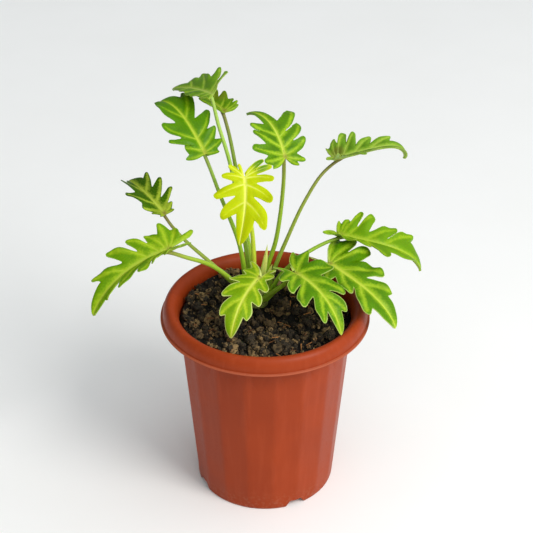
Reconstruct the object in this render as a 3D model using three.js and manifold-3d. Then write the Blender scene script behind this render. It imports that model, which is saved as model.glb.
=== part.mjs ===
// A potted golden winterbourn philodendron: a plastic pot, its potting mix, the plant's short
// crown with one young sheath, and twelve leaves, each a stalk and a lobed blade.
// Millimetres, +Z up. The origin is the centre of the pot's foot, on the surface it stands on.
// The plant's front, where the young yellow leaf hangs, faces -Y.
import * as THREE from "three";
import { mergeVertices } from "three/addons/utils/BufferGeometryUtils.js";
import Module from "manifold-3d";

const wasm = await Module();
wasm.setup();

// Driving dimensions of the pot: a 15 cm pot with a rolled rim and eighteen flat panels
const potHeight = 150;
const rimRadius = 74.8;
const rimCrestRadius = 68.3;
const lipHeight = 139;
const panelCount = 18;
const panelTurn = 6.5;
const bodyTopRadius = 61.8;
const footRadius = 50.2;
const rimWellRadius = 61.6;
const wallThickness = 1.6;
const footRingWidth = 6;
const floorHeight = 5;
const floorThickness = 2;
const footNotch = { count: 4, turn: 26, height: 5, bottomWidth: 17, topWidth: 9 };
const drainHole = { count: 5, radius: 4.5, ring: 26 };

// Driving dimensions of the potting mix and of the crown that stands in it
const soilHeight = 139.5;
const soilEdgeDrop = 1.6;
const soilHeap = { height: 6, turn: 130 };
const soilRings = 3;
const soilSegments = 24;
const clodCount = 64;
const clodClearance = 6;
const clodSize = { least: 3, most: 5.2 };
const crown = { x: -6, y: 18, radius: 8.6, bottom: 112, shoulder: 143, top: 151 };
const seatGap = 0.3;

// Leaf blades: thickness at the edge and at the midrib, with the midrib's half width as a share of
// the blade's length, the height and length of the edge's ruffles and how far out they grow
const bladeEdge = 0.6;
const bladeRib = 1.5;
const ribReach = 0.06;
const ruffle = 1.3;
const ruffleLength = 13;
const ruffleReach = 22;

// Lobes: how far a tip and a notch are rounded, as shares of a flank; where a notch lies between
// its two veins, and the last one before the leaf's tip; where a flank's shoulder lies along it,
// how far the shoulder on the side of the leaf's tip swells; and how far a lobe's end leans forward
const tipRound = 0.7;
const notchRound = 0.12;
const notchShare = 0.27;
const lastNotchShare = 0.12;
const shoulderShare = 0.55;
const innerSwell = 0.03;
const lobeLean = 0.27;

// Where the last vein leaves the midrib, as a share of its length, and how a blade is divided:
// steps before and after a flank's shoulder on a lobe's two sides, steps round the leaf's tip, and
// rows from the midrib out to the edge
const apexRootShare = 0.9;
const outerSpans = [1, 2];
const innerSpans = [1, 1];
const apexSpans = 4;
const bladeRows = [0, 0.45, 1];

// Stalks: how far along the midrib they end, and how they are divided
const stalkSeat = 3;
const stalkSides = 8;
const stalkSteps = 12;

// One leaf to a row. at is where the blade joins its stalk, and long is the midrib's length.
// head is the midrib's direction seen from above, from +X, at the stalk and at the tip, pitch its
// slope, roll its twist, and fold the rise of the left and right halves at the stalk and then at
// the tip, all in degrees. bend tells how late the slope changes: the higher, the nearer the tip.
// curl is how fast each half droops outward, in degrees a millimetre, and swell how far a lobe's
// outer flank bulges, as a share of its length.
// lobes lists the pairs of veins from the stalk on: where a pair leaves the midrib, then how far
// along and out the lobe's tip lies and how far out the notch beyond it, left and then right.
// stalk has the place where it leaves the crown, the points that it passes on its way to the
// blade, and its thickness at the crown and at the blade.
const leaves = [
  {
    name: "top", at: [-36, 36, 296], long: 43, head: [129, 141], pitch: [-7, -25], bend: 1.5,
    roll: [-14, -10], fold: [6, 14, 6, 14], curl: [0.2, 0.2], swell: 0.12, colour: "green",
    lobes: [[0, -3.5, 6, 5, 2, 7.5, 7], [2, 4, 8, 7, 9, 23, 12.5], [7, 12, 10, 9, 13.5, 22, 13],
      [15, 22.5, 7, 5, 24.5, 15, 10.5], [25, 31, 5, 4, 31, 8, 5]],
    stalk: { from: [-10, 25], by: [[-14, 26, 182], [-24, 33, 242], [-32, 36, 272]], thick: [3.9, 2.4] },
  },
  {
    name: "back", at: [-28, 47, 277], long: 44, head: [133, 135], pitch: [15, -17], bend: 1.5,
    roll: [-6, -6], fold: [36, 12, 30, 12], curl: [0.2, 0.2], swell: 0.12, colour: "green",
    lobes: [[0, -1, 7, 6, -2, 11, 8], [1, 3, 9, 7, 1.5, 13, 9.5], [3, 9, 12, 7, 7, 13.5, 10],
      [8, 16, 12, 6, 14, 12, 6.5], [16, 25, 10, 5, 23, 11, 6], [27, 35, 7, 4, 34, 8, 4]],
    stalk: { from: [-6, 26], by: [[-12, 33, 178], [-21, 43, 237], [-26, 46, 264]], thick: [3.9, 2.4] },
  },
  {
    name: "upper_left", at: [-41, 18, 260], long: 58, head: [129, 135], pitch: [42, -39], bend: 2.9,
    roll: [-8, 0], fold: [10, 10, 10, 10], curl: [0.3, 0.3], swell: 0.12, colour: "green",
    lobes: [[0, 0.5, 15.5, 12, -3, 10, 9.5], [2, 10.5, 11, 7, 4.5, 15.5, 11.5],
      [8, 16.5, 22, 11.5, 14, 15.5, 10], [17, 29, 20.5, 9, 26, 18.5, 6.5],
      [32, 47, 11, 9.5, 49.5, 15.5, 10]],
    stalk: { from: [-13, 22], by: [[-18, 20, 185], [-31, 19, 226], [-38, 18, 249]], thick: [4.1, 2.5] },
  },
  {
    name: "upper_middle", at: [14, 34, 248], long: 53, head: [109, 143], pitch: [45, -29], bend: 1.8,
    roll: [6, 8], fold: [10, 10, 10, 10], curl: [0.3, 0.3], swell: 0.14, colour: "green",
    lobes: [[0, -7.5, 11.5, 11, -7, 9, 8], [2, -1.5, 17, 13.5, -3.5, 15, 9],
      [6, 11.5, 23.5, 12.5, 10.5, 18.5, 9.5], [13, 24, 18.5, 10.5, 21.5, 20.5, 7.5],
      [22, 30, 18, 6, 33, 23, 6]],
    stalk: { from: [-2, 25], by: [[2, 25, 165], [8, 26, 187], [13, 31, 231]], thick: [3.9, 2.6] },
  },
  {
    name: "upper_right", at: [49, 24, 253], long: 57, head: [2, 14], pitch: [14, -120], bend: 5,
    roll: [0, 0], fold: [18, 32, 14, 16], curl: [0.2, 0], swell: 0.1, colour: "green",
    lobes: [[0, -6, 14, 12, -6, 8, 5], [1, 0.5, 19.5, 13.5, 2, 14, 8], [5, 9.5, 24.5, 13.5, 11, 17, 9],
      [11, 16.5, 19, 8, 20, 17, 8], [17, 27, 12.5, 6, 30, 15, 7], [27, 40, 8.5, 5.5, 42, 9, 5]],
    stalk: {
      from: [1, 22], by: [[8, 22, 168], [15, 23, 187], [27, 24, 217], [40, 24, 241]],
      thick: [3.6, 2.2],
    },
  },
  {
    name: "left", at: [-71, 28, 206], long: 48, head: [138, 120], pitch: [29, -22], bend: 1.5,
    roll: [-12, -5], fold: [30, 10, 30, 10], curl: [0.2, 0.3], swell: 0.06, colour: "dark",
    lobes: [[0, -1, 6, 5, -1.5, 7, 6.5], [1, 3, 12, 9, 4.5, 10.5, 7.5],
      [6, 10, 14.5, 12, 15.5, 17.5, 6.5], [15, 24.5, 17.5, 8.5, 26.5, 16, 7],
      [26, 42, 8, 4.5, 40.5, 13, 8]],
    stalk: { from: [-14, 18], by: [[-39, 16, 173], [-55, 20, 187], [-66, 26, 197]], thick: [3.6, 2.2] },
  },
  {
    name: "lower_left", at: [-65, -19, 206], long: 72, head: [204, 224], pitch: [-10, -61], bend: 1.8,
    roll: [0, 0], fold: [32, 32, 10, 26], curl: [0, 0.3], swell: 0.14, colour: "green",
    lobes: [[0, -14, 8, 6, -20.5, 8, 6], [1, -4, 15, 10, -9.5, 14.5, 14], [3, 8, 18, 10, 0, 19.5, 13.5],
      [7, 19, 19, 9, 10.5, 18, 10.5], [13, 30, 18, 8, 22, 20, 8.5], [22, 46, 9.5, 6, 36, 20.5, 7.5],
      [37, 57, 6, 5, 53.5, 13, 7.5]],
    stalk: { from: [-13, 13], by: [[-22, 7, 162], [-37, -1, 181], [-54, -14, 196]], thick: [4.2, 2.8] },
  },
  {
    name: "young_gold", at: [-14, 14, 243], long: 48, head: [-81, -117], pitch: [-41, -67], bend: 1.5,
    roll: [0, 0], fold: [8, 8, 8, 8], curl: [0.3, 0.3], swell: 0.17, colour: "gold",
    lobes: [[0, -11, 14.5, 7, -10.5, 3, 3], [0.5, -6.5, 20, 8.5, -9, 10.5, 7], [2, 3, 20, 8, -2, 16, 7.5],
      [7, 17.5, 18.5, 6, 15.5, 21.5, 7], [19, 34.5, 16.5, 8, 31.5, 15.5, 5.5]],
    stalk: { from: [-8, 20], by: [[-8, 20, 171], [-9, 20, 196], [-13, 19, 225]], thick: [4.2, 2.8] },
  },
  {
    name: "front", at: [-4, -4, 173], long: 55, head: [-117, -114], pitch: [2, -74], bend: 1.5,
    roll: [0, 0], fold: [-14, 10, -14, 10], curl: [0.3, 0.3], swell: 0.17, colour: "green",
    lobes: [[0, -16, 5, 4, -13, 13.5, 10], [1, -8.5, 8, 5, -1, 13.5, 9.5],
      [6, 12.5, 11.5, 5.5, 13, 17, 9], [15, 26.5, 12.5, 6.5, 27.5, 15.5, 8.5],
      [28, 40, 8, 5, 41.5, 11, 7.5]],
    stalk: { from: [-8, 10], by: [[-8, 6, 158], [-6, 1, 167]], thick: [3.8, 2.6] },
  },
  {
    name: "front_right", at: [22, -6, 178], long: 59, head: [-47, -53], pitch: [-2, -74], bend: 1.5,
    roll: [0, 0], fold: [16, 10, 10, 10], curl: [0.3, 0.3], swell: 0.16, colour: "green",
    lobes: [[0, -18, 14, 13, -15.5, 8.5, 6.5], [1, -9.5, 21, 13, 2.5, 17.5, 12],
      [5, 14.5, 21.5, 10, 16.5, 20.5, 8.5], [16, 34, 15, 6, 30.5, 22, 8.5],
      [30, 45, 8.5, 5.5, 46, 12, 5]],
    stalk: { from: [-4, 10], by: [[2, 7, 151], [10, 4, 159], [16, 1, 167]], thick: [4, 2.6] },
  },
  {
    name: "lower_right", at: [46, 12, 175], long: 71, head: [-49, -32], pitch: [-6, -70], bend: 2.2,
    roll: [0, 0], fold: [7, 10, 10, 10], curl: [0.3, 0.3], swell: 0.13, colour: "green",
    lobes: [[0, -19, 25.5, 24.5, -11, 10, 8], [1, -6, 31.5, 18, -2, 16, 9], [5, 9, 33, 17.5, 14, 17, 10],
      [17, 35, 21.5, 8, 33, 15, 7.5], [35, 49.5, 14, 9.5, 51, 17, 10.5]],
    stalk: { from: [0, 13], by: [[12, 10, 157], [28, 9, 168]], thick: [3.8, 2.6] },
  },
  {
    name: "right", at: [54, 38, 183], long: 72, head: [-22, 19], pitch: [-4, -72], bend: 2.2,
    roll: [0, 0], fold: [30, 26, 24, -12], curl: [0.3, 0], swell: 0.12, colour: "green",
    lobes: [[0, -4, 10, 9.5, -10, 10, 5], [2, 2, 15, 12.5, 2, 12, 8], [6, 11, 23, 10, 13, 10, 7],
      [13, 22, 23, 8, 24, 9, 7], [25, 41.5, 17, 6, 35, 19.5, 9.5], [39, 56.5, 18, 12, 60, 4, 3]],
    stalk: { from: [2, 17], by: [[11, 16, 162], [25, 21, 174], [43, 31, 180]], thick: [3.8, 2.4] },
  },
];
const sheath = { from: [-3.6, 20, 147], to: [1, 20, 186], width: 4.6, thick: 2.8 };

// Finishes
const finish = (hex, roughness) => new THREE.MeshStandardMaterial({ color: hex, roughness, metalness: 0 });
const finishes = {
  pot: finish(0xa1492a, 0.45),
  soil: finish(0x2e2820, 0.95),
  crown: finish(0x7a8a34, 0.6),
  sheath: finish(0xc6cf7a, 0.5),
  stalk: finish(0x86a02e, 0.45),
  green: finish(0x7fae22, 0.4),
  dark: finish(0x5f9a28, 0.4),
  gold: finish(0xc8d21c, 0.42),
};

// A steady random draw in 0 to 1, the same on each run
function makeDraw(seed) {
  let state = seed;
  return () => {
    state = (state * 1664525 + 1013904223) % 4294967296;
    return state / 4294967296;
  };
}

// A closed three.js geometry as a solid that can be joined and cut
function solidOf(geometry) {
  const bare = geometry.clone();
  bare.deleteAttribute("normal");
  bare.deleteAttribute("uv");
  const merged = mergeVertices(bare, 1e-4);
  return new wasm.Manifold(
    new wasm.Mesh({
      numProp: 3,
      vertProperties: new Float32Array(merged.attributes.position.array),
      triVerts: new Uint32Array(merged.index.array),
    }),
  );
}

// A solid back as a three.js geometry, keeping only its largest body
function geometryOf(solid) {
  const bodies = solid.decompose().sort((a, b) => b.volume() - a.volume());
  const mesh = bodies[0].getMesh();
  const flat = new THREE.BufferGeometry();
  flat.setAttribute("position", new THREE.BufferAttribute(new Float32Array(mesh.vertProperties), 3));
  flat.setIndex(new THREE.BufferAttribute(new Uint32Array(mesh.triVerts), 1));
  flat.computeVertexNormals();
  return flat;
}

// A turned solid round Z from a closed profile of [radius, height] points, drawn anticlockwise
function turned(profile, segments, turnDegrees = 0) {
  const points = profile.map(([r, z]) => new THREE.Vector2(r, z));
  const lathe = new THREE.LatheGeometry(points, segments);
  lathe.rotateX(Math.PI / 2);
  lathe.rotateZ(THREE.MathUtils.degToRad(turnDegrees));
  return solidOf(lathe);
}

// The pot: panelled body and rolled rim joined, hollowed, notched at the foot and drained
function makePot() {
  const panels = 1 / Math.cos(Math.PI / panelCount);
  const body = turned(
    [[0, 0], [footRadius * panels, 0], [bodyTopRadius * panels, lipHeight + 2], [0, lipHeight + 2]],
    panelCount, panelTurn,
  );
  const rim = turned(
    [[rimWellRadius - 1, lipHeight - 6], [bodyTopRadius + 0.5, lipHeight - 1],
      [rimRadius - 0.4, lipHeight - 1], [rimRadius, lipHeight], [rimRadius - 0.7, lipHeight + 4.5],
      [rimRadius - 2.9, lipHeight + 8.6], [rimCrestRadius, potHeight],
      [rimCrestRadius - 3.6, potHeight - 1.4], [rimCrestRadius - 5.9, potHeight - 4.6],
      [rimWellRadius, lipHeight], [rimWellRadius - 1, lipHeight - 6]],
    3 * panelCount, panelTurn,
  );
  const wellBottom = floorHeight + floorThickness;
  const lowerWell = footRadius - wallThickness;
  const upperWell = rimWellRadius - 0.1;
  const well = turned(
    [[0, wellBottom], [lowerWell - 1, wellBottom], [lowerWell, wellBottom + 3],
      [upperWell, lipHeight], [upperWell, potHeight + 1], [0, potHeight + 1]],
    2 * panelCount, panelTurn,
  );
  const recess = turned(
    [[0, -1], [footRadius - footRingWidth, -1], [footRadius - footRingWidth, floorHeight], [0, floorHeight]],
    2 * panelCount, panelTurn,
  );
  let pot = body.add(rim).subtract(well).subtract(recess);
  for (let i = 0; i < footNotch.count; i++) {
    const half = footNotch.bottomWidth / 2;
    const topHalf = footNotch.topWidth / 2;
    const shape = new THREE.Shape([
      new THREE.Vector2(-half, -1),
      new THREE.Vector2(half, -1),
      new THREE.Vector2(topHalf, footNotch.height),
      new THREE.Vector2(-topHalf, footNotch.height),
    ]);
    const notch = new THREE.ExtrudeGeometry(shape, { depth: 3 * footRingWidth, bevelEnabled: false });
    notch.rotateX(Math.PI / 2);
    notch.translate(0, -(footRadius - 2 * footRingWidth), 0);
    notch.rotateZ(THREE.MathUtils.degToRad(footNotch.turn + (360 / footNotch.count) * i));
    pot = pot.subtract(solidOf(notch));
  }
  for (let i = 0; i < drainHole.count; i++) {
    const hole = new THREE.CylinderGeometry(drainHole.radius, drainHole.radius, 3 * floorThickness, 16);
    hole.rotateX(Math.PI / 2);
    hole.translate(drainHole.ring, 0, floorHeight + floorThickness / 2);
    hole.rotateZ((2 * Math.PI * (i + 0.5)) / drainHole.count);
    pot = pot.subtract(solidOf(hole));
  }
  return pot;
}

// The crown's outline: a short knobby stem with a domed top, grown by a margin
function makeCrown(margin) {
  const r = crown.radius + margin;
  const steps = 5;
  const dome = [];
  for (let i = 0; i <= steps; i++) {
    const angle = (i / steps) * (Math.PI / 2);
    const rise = crown.top + margin - crown.shoulder;
    dome.push([r * Math.cos(angle), crown.shoulder + rise * Math.sin(angle)]);
  }
  dome[steps][0] = 0;
  const stem = turned([[0, crown.bottom - margin], [r * 0.8, crown.bottom - margin], [r, crown.bottom + 12],
    [r * 0.93, crown.shoulder - 14], ...dome], 20);
  return stem.translate([crown.x, crown.y, 0]);
}

// How much higher the mix lies at a place, as it is heaped against the back left of the pot
function soilRise(x, y) {
  const turn = THREE.MathUtils.degToRad(soilHeap.turn);
  const toward = (x * Math.cos(turn) + y * Math.sin(turn)) / rimWellRadius;
  return soilHeap.height * Math.max(toward, 0) ** 2;
}

// The potting mix: it fills the pot, and clods stand out of its top
function makeSoil(crownHole) {
  const draw = makeDraw(7);
  const bottom = floorHeight + floorThickness + seatGap;
  const lowerRadius = footRadius - wallThickness - 1 - seatGap;
  const topRadius = rimWellRadius - 0.4 - seatGap;
  const points = [];
  for (let ring = 1; ring <= soilRings; ring++) {
    for (let i = 0; i < soilSegments; i++) {
      const angle = (2 * Math.PI * i) / soilSegments;
      const r = (topRadius * ring) / soilRings;
      const relief = ring < soilRings ? draw() - 0.5 : -soilEdgeDrop;
      const [x, y] = [r * Math.cos(angle), r * Math.sin(angle)];
      points.push(x, y, soilHeight + relief + soilRise(x, y));
    }
  }
  const foot = [];
  for (let i = 0; i < soilSegments; i++) {
    const angle = (2 * Math.PI * i) / soilSegments;
    foot.push(lowerRadius * Math.cos(angle), lowerRadius * Math.sin(angle), bottom);
  }
  const vertices = [...points, ...foot, 0, 0, soilHeight, 0, 0, bottom];
  const top = vertices.length / 3 - 2;
  const base = top + 1;
  const index = [];
  for (let i = 0; i < soilSegments; i++) {
    const next = (i + 1) % soilSegments;
    index.push(top, i, next);
    for (let ring = 0; ring < soilRings; ring++) {
      const a = ring * soilSegments;
      const b = a + soilSegments;
      index.push(a + i, b + i, b + next, a + i, b + next, a + next);
    }
    const last = soilRings * soilSegments;
    index.push(base, last + next, last + i);
  }
  const bed = new THREE.BufferGeometry();
  bed.setAttribute("position", new THREE.Float32BufferAttribute(vertices, 3));
  bed.setIndex(index);
  const pieces = [solidOf(bed)];
  for (let k = 0; k < clodCount; k++) {
    const size = clodSize.least + (clodSize.most - clodSize.least) * draw();
    const r = (topRadius - size - 1.5) * Math.sqrt(draw());
    const angle = 2 * Math.PI * draw();
    const [x, y] = [r * Math.cos(angle), r * Math.sin(angle)];
    const clod = new THREE.IcosahedronGeometry(size, 0);
    clod.scale(0.8 + 0.5 * draw(), 0.8 + 0.4 * draw(), 0.6 + 0.3 * draw());
    clod.rotateX(3 * draw());
    clod.rotateZ(6 * draw());
    clod.translate(x, y, soilHeight + 0.15 * size + soilRise(x, y));
    const fromCrown = Math.hypot(x - crown.x, y - crown.y) - crown.radius - size;
    if (fromCrown > clodClearance) pieces.push(solidOf(clod));
  }
  return wasm.Manifold.union(pieces).subtract(crownHole);
}

// The blade's surface: a point along and out from the stalk, carried to its place in space
function makeSurface(leaf) {
  const rad = THREE.MathUtils.degToRad;
  const steps = 60;
  const frames = [];
  const place = new THREE.Vector3(...leaf.at);
  let before = null;
  for (let i = 0; i <= steps; i++) {
    const f = i / steps;
    const head = rad(THREE.MathUtils.lerp(...leaf.head, f));
    const pitch = rad(THREE.MathUtils.lerp(...leaf.pitch, f ** leaf.bend));
    const roll = rad(THREE.MathUtils.lerp(...leaf.roll, f));
    const along = new THREE.Vector3(
      Math.cos(pitch) * Math.cos(head), Math.cos(pitch) * Math.sin(head), Math.sin(pitch));
    const level = new THREE.Vector3(-Math.sin(head), Math.cos(head), 0);
    const upright = new THREE.Vector3().crossVectors(along, level);
    const out = level.clone().multiplyScalar(Math.cos(roll)).addScaledVector(upright, Math.sin(roll));
    const up = new THREE.Vector3().crossVectors(along, out);
    if (before) place.addScaledVector(before.clone().add(along), leaf.long / steps / 2);
    before = along;
    frames.push({ place: place.clone(), along, out, up });
  }
  return (u, v) => {
    const f = THREE.MathUtils.clamp(u / leaf.long, 0, 1) * steps;
    const i = Math.min(Math.floor(f), steps - 1);
    const [a, b, t] = [frames[i], frames[i + 1], f - i];
    const side = v >= 0 ? 0 : 1;
    const fold = rad(THREE.MathUtils.lerp(leaf.fold[side], leaf.fold[side + 2], (i + t) / steps));
    const curl = rad(leaf.curl[side]) || 1e-6;
    const reach = Math.abs(v);
    const level = (Math.sin(fold) - Math.sin(fold - curl * reach)) / curl;
    const swing = ruffle * (Math.min(reach, ruffleReach) / 20) ** 2;
    const wave = swing * Math.sin((2 * Math.PI * u) / ruffleLength + side);
    const lift = (Math.cos(fold - curl * reach) - Math.cos(fold)) / curl + wave;
    const point = a.place.clone().lerp(b.place, t);
    point.addScaledVector(a.along.clone().lerp(b.along, t), u - (leaf.long * (i + t)) / steps);
    point.addScaledVector(a.out.clone().lerp(b.out, t), Math.sign(v) * level);
    return point.addScaledVector(a.up.clone().lerp(b.up, t), lift);
  };
}

// A smooth run from one point to another with the given tangents, without its start
function easeTo(start, end, leave, arrive, spans) {
  const points = [];
  for (let j = 1; j <= spans; j++) {
    const s = j / spans;
    const point = start.clone().multiplyScalar(2 * s ** 3 - 3 * s ** 2 + 1);
    point.addScaledVector(leave, s ** 3 - 2 * s ** 2 + s);
    point.addScaledVector(end, 3 * s ** 2 - 2 * s ** 3);
    points.push(point.addScaledVector(arrive, s ** 3 - s ** 2));
  }
  return points;
}

// One side of a lobe, between a notch and the tip, through a shoulder that swells out by a share
function flank(start, end, leave, arrive, swell, spans) {
  const chord = end.clone().sub(start);
  const aside = new THREE.Vector2(-chord.y, chord.x);
  const shoulder = start.clone().addScaledVector(chord, shoulderShare).addScaledVector(aside, swell);
  const [before, after] = [shoulderShare, 1 - shoulderShare].map((f) => chord.clone().multiplyScalar(f));
  return [
    ...easeTo(start, shoulder, leave, before, spans[0]),
    ...easeTo(shoulder, end, after, arrive, spans[1]),
  ];
}

// The veins of one half, as a root on the midrib, a lobe's tip and how far out the next notch lies
function halfVeins(leaf, side) {
  const first = side > 0 ? 1 : 4;
  const veins = leaf.lobes.map((row) => ({
    root: row[0], tip: new THREE.Vector2(row[first], row[first + 1]), notch: row[first + 2],
  }));
  return [...veins, { root: apexRootShare * leaf.long, tip: new THREE.Vector2(leaf.long, 0), notch: 0 }];
}

// The notches of one half, each as the midrib point level with it, its place and its slant
function halfNotches(veins) {
  const notches = [{ root: 0, at: new THREE.Vector2(-1, 0), slant: new THREE.Vector2(0, 1) }];
  for (let k = 0; k + 1 < veins.length; k++) {
    const [low, high] = [veins[k], veins[k + 1]];
    const share = high.tip.y ? notchShare : lastNotchShare;
    const root = THREE.MathUtils.lerp(low.root, high.root, share);
    const tip = low.tip.clone().lerp(high.tip, share);
    const at = new THREE.Vector2(root + (low.notch / tip.y) * (tip.x - root), low.notch);
    notches.push({ root, at, slant: new THREE.Vector2(tip.y, root - tip.x).normalize() });
  }
  return notches;
}

// Pushes on the edge points that would lie behind the row before them, from both notches to the tip
function putInOrder(roots, points, crest) {
  const push = (k, way) => {
    const ray = points[k - way].clone().sub(new THREE.Vector2(roots[k - way], 0));
    const ahead = new THREE.Vector2(way * ray.y, -way * ray.x).normalize();
    const lead = points[k].clone().sub(points[k - way]).dot(ahead);
    points[k].addScaledVector(ahead, Math.max(0.02 - lead, 0));
  };
  for (let k = 1; k <= crest; k++) push(k, 1);
  for (let k = points.length - 2; k > crest; k--) push(k, -1);
}

// One half of a blade's outline, as the midrib point that each row starts from and the edge point
// that it runs to. A lobe is a rounded finger between two notches, leaning the way its vein ends.
function halfOutline(leaf, side) {
  const veins = halfVeins(leaf, side);
  const notches = halfNotches(veins);
  const columns = [[0, -1, 0]];
  const crest = outerSpans[0] + outerSpans[1];
  for (let k = 0; k + 1 < veins.length; k++) {
    const [low, high, vein] = [notches[k], notches[k + 1], veins[k]];
    const way = vein.tip.clone().sub(new THREE.Vector2(vein.root, 0));
    const axis = way.clone().addScaledVector(new THREE.Vector2(-way.y, way.x), -lobeLean);
    const [rise, fall] = [vein.tip.distanceTo(low.at), vein.tip.distanceTo(high.at)];
    const curl = tipRound * Math.min(rise, fall, 2 * low.at.distanceTo(high.at));
    const turn = new THREE.Vector2(axis.y, -axis.x).normalize().multiplyScalar(curl);
    const leave = low.slant.clone().multiplyScalar(notchRound * rise);
    const arrive = high.slant.clone().multiplyScalar(notchRound * fall);
    const points = [low.at.clone(), ...flank(low.at, vein.tip, leave, turn, leaf.swell, outerSpans),
      ...flank(vein.tip, high.at, turn, arrive, innerSwell, innerSpans)];
    const last = points.length - 1;
    const roots = points.map((_, j) => (j <= crest
      ? THREE.MathUtils.lerp(low.root, vein.root, j / crest)
      : THREE.MathUtils.lerp(vein.root, high.root, (j - crest) / (last - crest))));
    for (let j = 1; j < last; j++) points[j].y = Math.max(points[j].y, 0.5);
    putInOrder(roots, points, crest);
    for (let j = 1; j <= last; j++) columns.push([roots[j], points[j].x, side * points[j].y]);
  }
  const last = notches[notches.length - 1];
  for (let j = 1; j <= apexSpans; j++) {
    const f = j / apexSpans;
    const v = last.at.y * (1 - f) ** 0.75 * (1 + 0.5 * f);
    const u = THREE.MathUtils.lerp(last.at.x, leaf.long, f);
    columns.push([THREE.MathUtils.lerp(last.root, apexRootShare * leaf.long, f), u, side * v]);
  }
  return columns;
}

// A blade as one closed sheet, thick at the midrib and thin at the edge
function makeBlade(leaf, edge, rib) {
  const surface = makeSurface(leaf);
  const left = halfOutline(leaf, 1);
  const right = halfOutline(leaf, -1);
  const lastRow = bladeRows.length - 1;
  const nodes = new Map();
  const vertices = [];
  const add = (column, row) => {
    const [root, u, v] = column;
    const share = bladeRows[row];
    const [pu, pv] = [root + share * (u - root), share * v];
    const key = pu.toFixed(4) + " " + pv.toFixed(4);
    if (!nodes.has(key)) {
      const reach = Math.abs(share * v) / leaf.long;
      const thick = edge + (rib - edge) * Math.exp(-((reach / ribReach) ** 2));
      const step = 0.4;
      const here = surface(pu, pv);
      const alongWay = surface(pu + step, pv).sub(surface(pu - step, pv));
      const outWay = surface(pu, pv + step).sub(surface(pu, pv - step));
      const normal = alongWay.cross(outWay).normalize();
      const top = here.clone().addScaledVector(normal, edge / 2);
      const below = here.clone().addScaledVector(normal, edge / 2 - thick);
      nodes.set(key, vertices.length / 6);
      vertices.push(top.x, top.y, top.z, below.x, below.y, below.z);
    }
    return nodes.get(key);
  };
  const index = [];
  const tri = (a, b, c) => {
    if (a === b || b === c || a === c) return;
    index.push(2 * a, 2 * b, 2 * c, 2 * a + 1, 2 * c + 1, 2 * b + 1);
  };
  for (const [columns, side] of [[left, 1], [right, -1]]) {
    for (let j = 0; j + 1 < columns.length; j++) {
      for (let row = 0; row < lastRow; row++) {
        const a = add(columns[j], row);
        const b = add(columns[j + 1], row);
        const c = add(columns[j + 1], row + 1);
        const d = add(columns[j], row + 1);
        if (side > 0) {
          tri(a, b, c);
          tri(a, c, d);
        } else {
          tri(a, c, b);
          tri(a, d, c);
        }
      }
      const rimA = 2 * add(columns[j], lastRow);
      const rimB = 2 * add(columns[j + 1], lastRow);
      if (side > 0) index.push(rimA, rimB, rimB + 1, rimA, rimB + 1, rimA + 1);
      else index.push(rimB, rimA, rimA + 1, rimB, rimA + 1, rimB + 1);
    }
  }
  const sheet = new THREE.BufferGeometry();
  sheet.setAttribute("position", new THREE.Float32BufferAttribute(vertices, 3));
  sheet.setIndex(index);
  return sheet;
}

// A round stem along a curve, tapering from one thickness to another, closed at both ends
function makeTaper(points, thick) {
  const passed = points.map((p) => new THREE.Vector3(...p));
  const curve = new THREE.CatmullRomCurve3(passed, false, "centripetal");
  const frames = curve.computeFrenetFrames(stalkSteps, false);
  const vertices = [];
  const index = [];
  for (let i = 0; i <= stalkSteps; i++) {
    const centre = curve.getPointAt(i / stalkSteps);
    const r = THREE.MathUtils.lerp(...thick, (i / stalkSteps) ** 0.8) / 2;
    for (let j = 0; j < stalkSides; j++) {
      const angle = (2 * Math.PI * j) / stalkSides;
      const p = centre.clone().addScaledVector(frames.normals[i], r * Math.cos(angle));
      p.addScaledVector(frames.binormals[i], r * Math.sin(angle));
      vertices.push(p.x, p.y, p.z);
    }
  }
  for (let i = 0; i < stalkSteps; i++) {
    for (let j = 0; j < stalkSides; j++) {
      const next = (j + 1) % stalkSides;
      const [a, b] = [i * stalkSides, (i + 1) * stalkSides];
      index.push(a + j, a + next, b + next, a + j, b + next, b + j);
    }
  }
  const end = stalkSteps * stalkSides;
  for (let j = 1; j + 1 < stalkSides; j++) index.push(0, j + 1, j, end, end + j, end + j + 1);
  const stem = new THREE.BufferGeometry();
  stem.setAttribute("position", new THREE.Float32BufferAttribute(vertices, 3));
  stem.setIndex(index);
  return solidOf(stem);
}

// A leaf's stalk: it rises from the crown and ends just under the blade, at the midrib
function makeStalk(leaf, grownCrown) {
  const [x, y] = leaf.stalk.from;
  const surface = makeSurface(leaf);
  const ahead = surface(stalkSeat + 1, 0).sub(surface(stalkSeat - 1, 0));
  const outward = surface(stalkSeat, 1).sub(surface(stalkSeat, -1));
  const normal = ahead.cross(outward).normalize();
  const under = surface(stalkSeat, 0).addScaledVector(normal, -bladeRib);
  const points = [[x, y, crown.shoulder + 1], ...leaf.stalk.by, under.toArray()];
  const stem = makeTaper(points, leaf.stalk.thick);
  const clearBlade = solidOf(makeBlade(leaf, bladeEdge + 2 * seatGap, bladeRib + 2 * seatGap));
  return stem.subtract(grownCrown).subtract(clearBlade);
}

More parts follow.
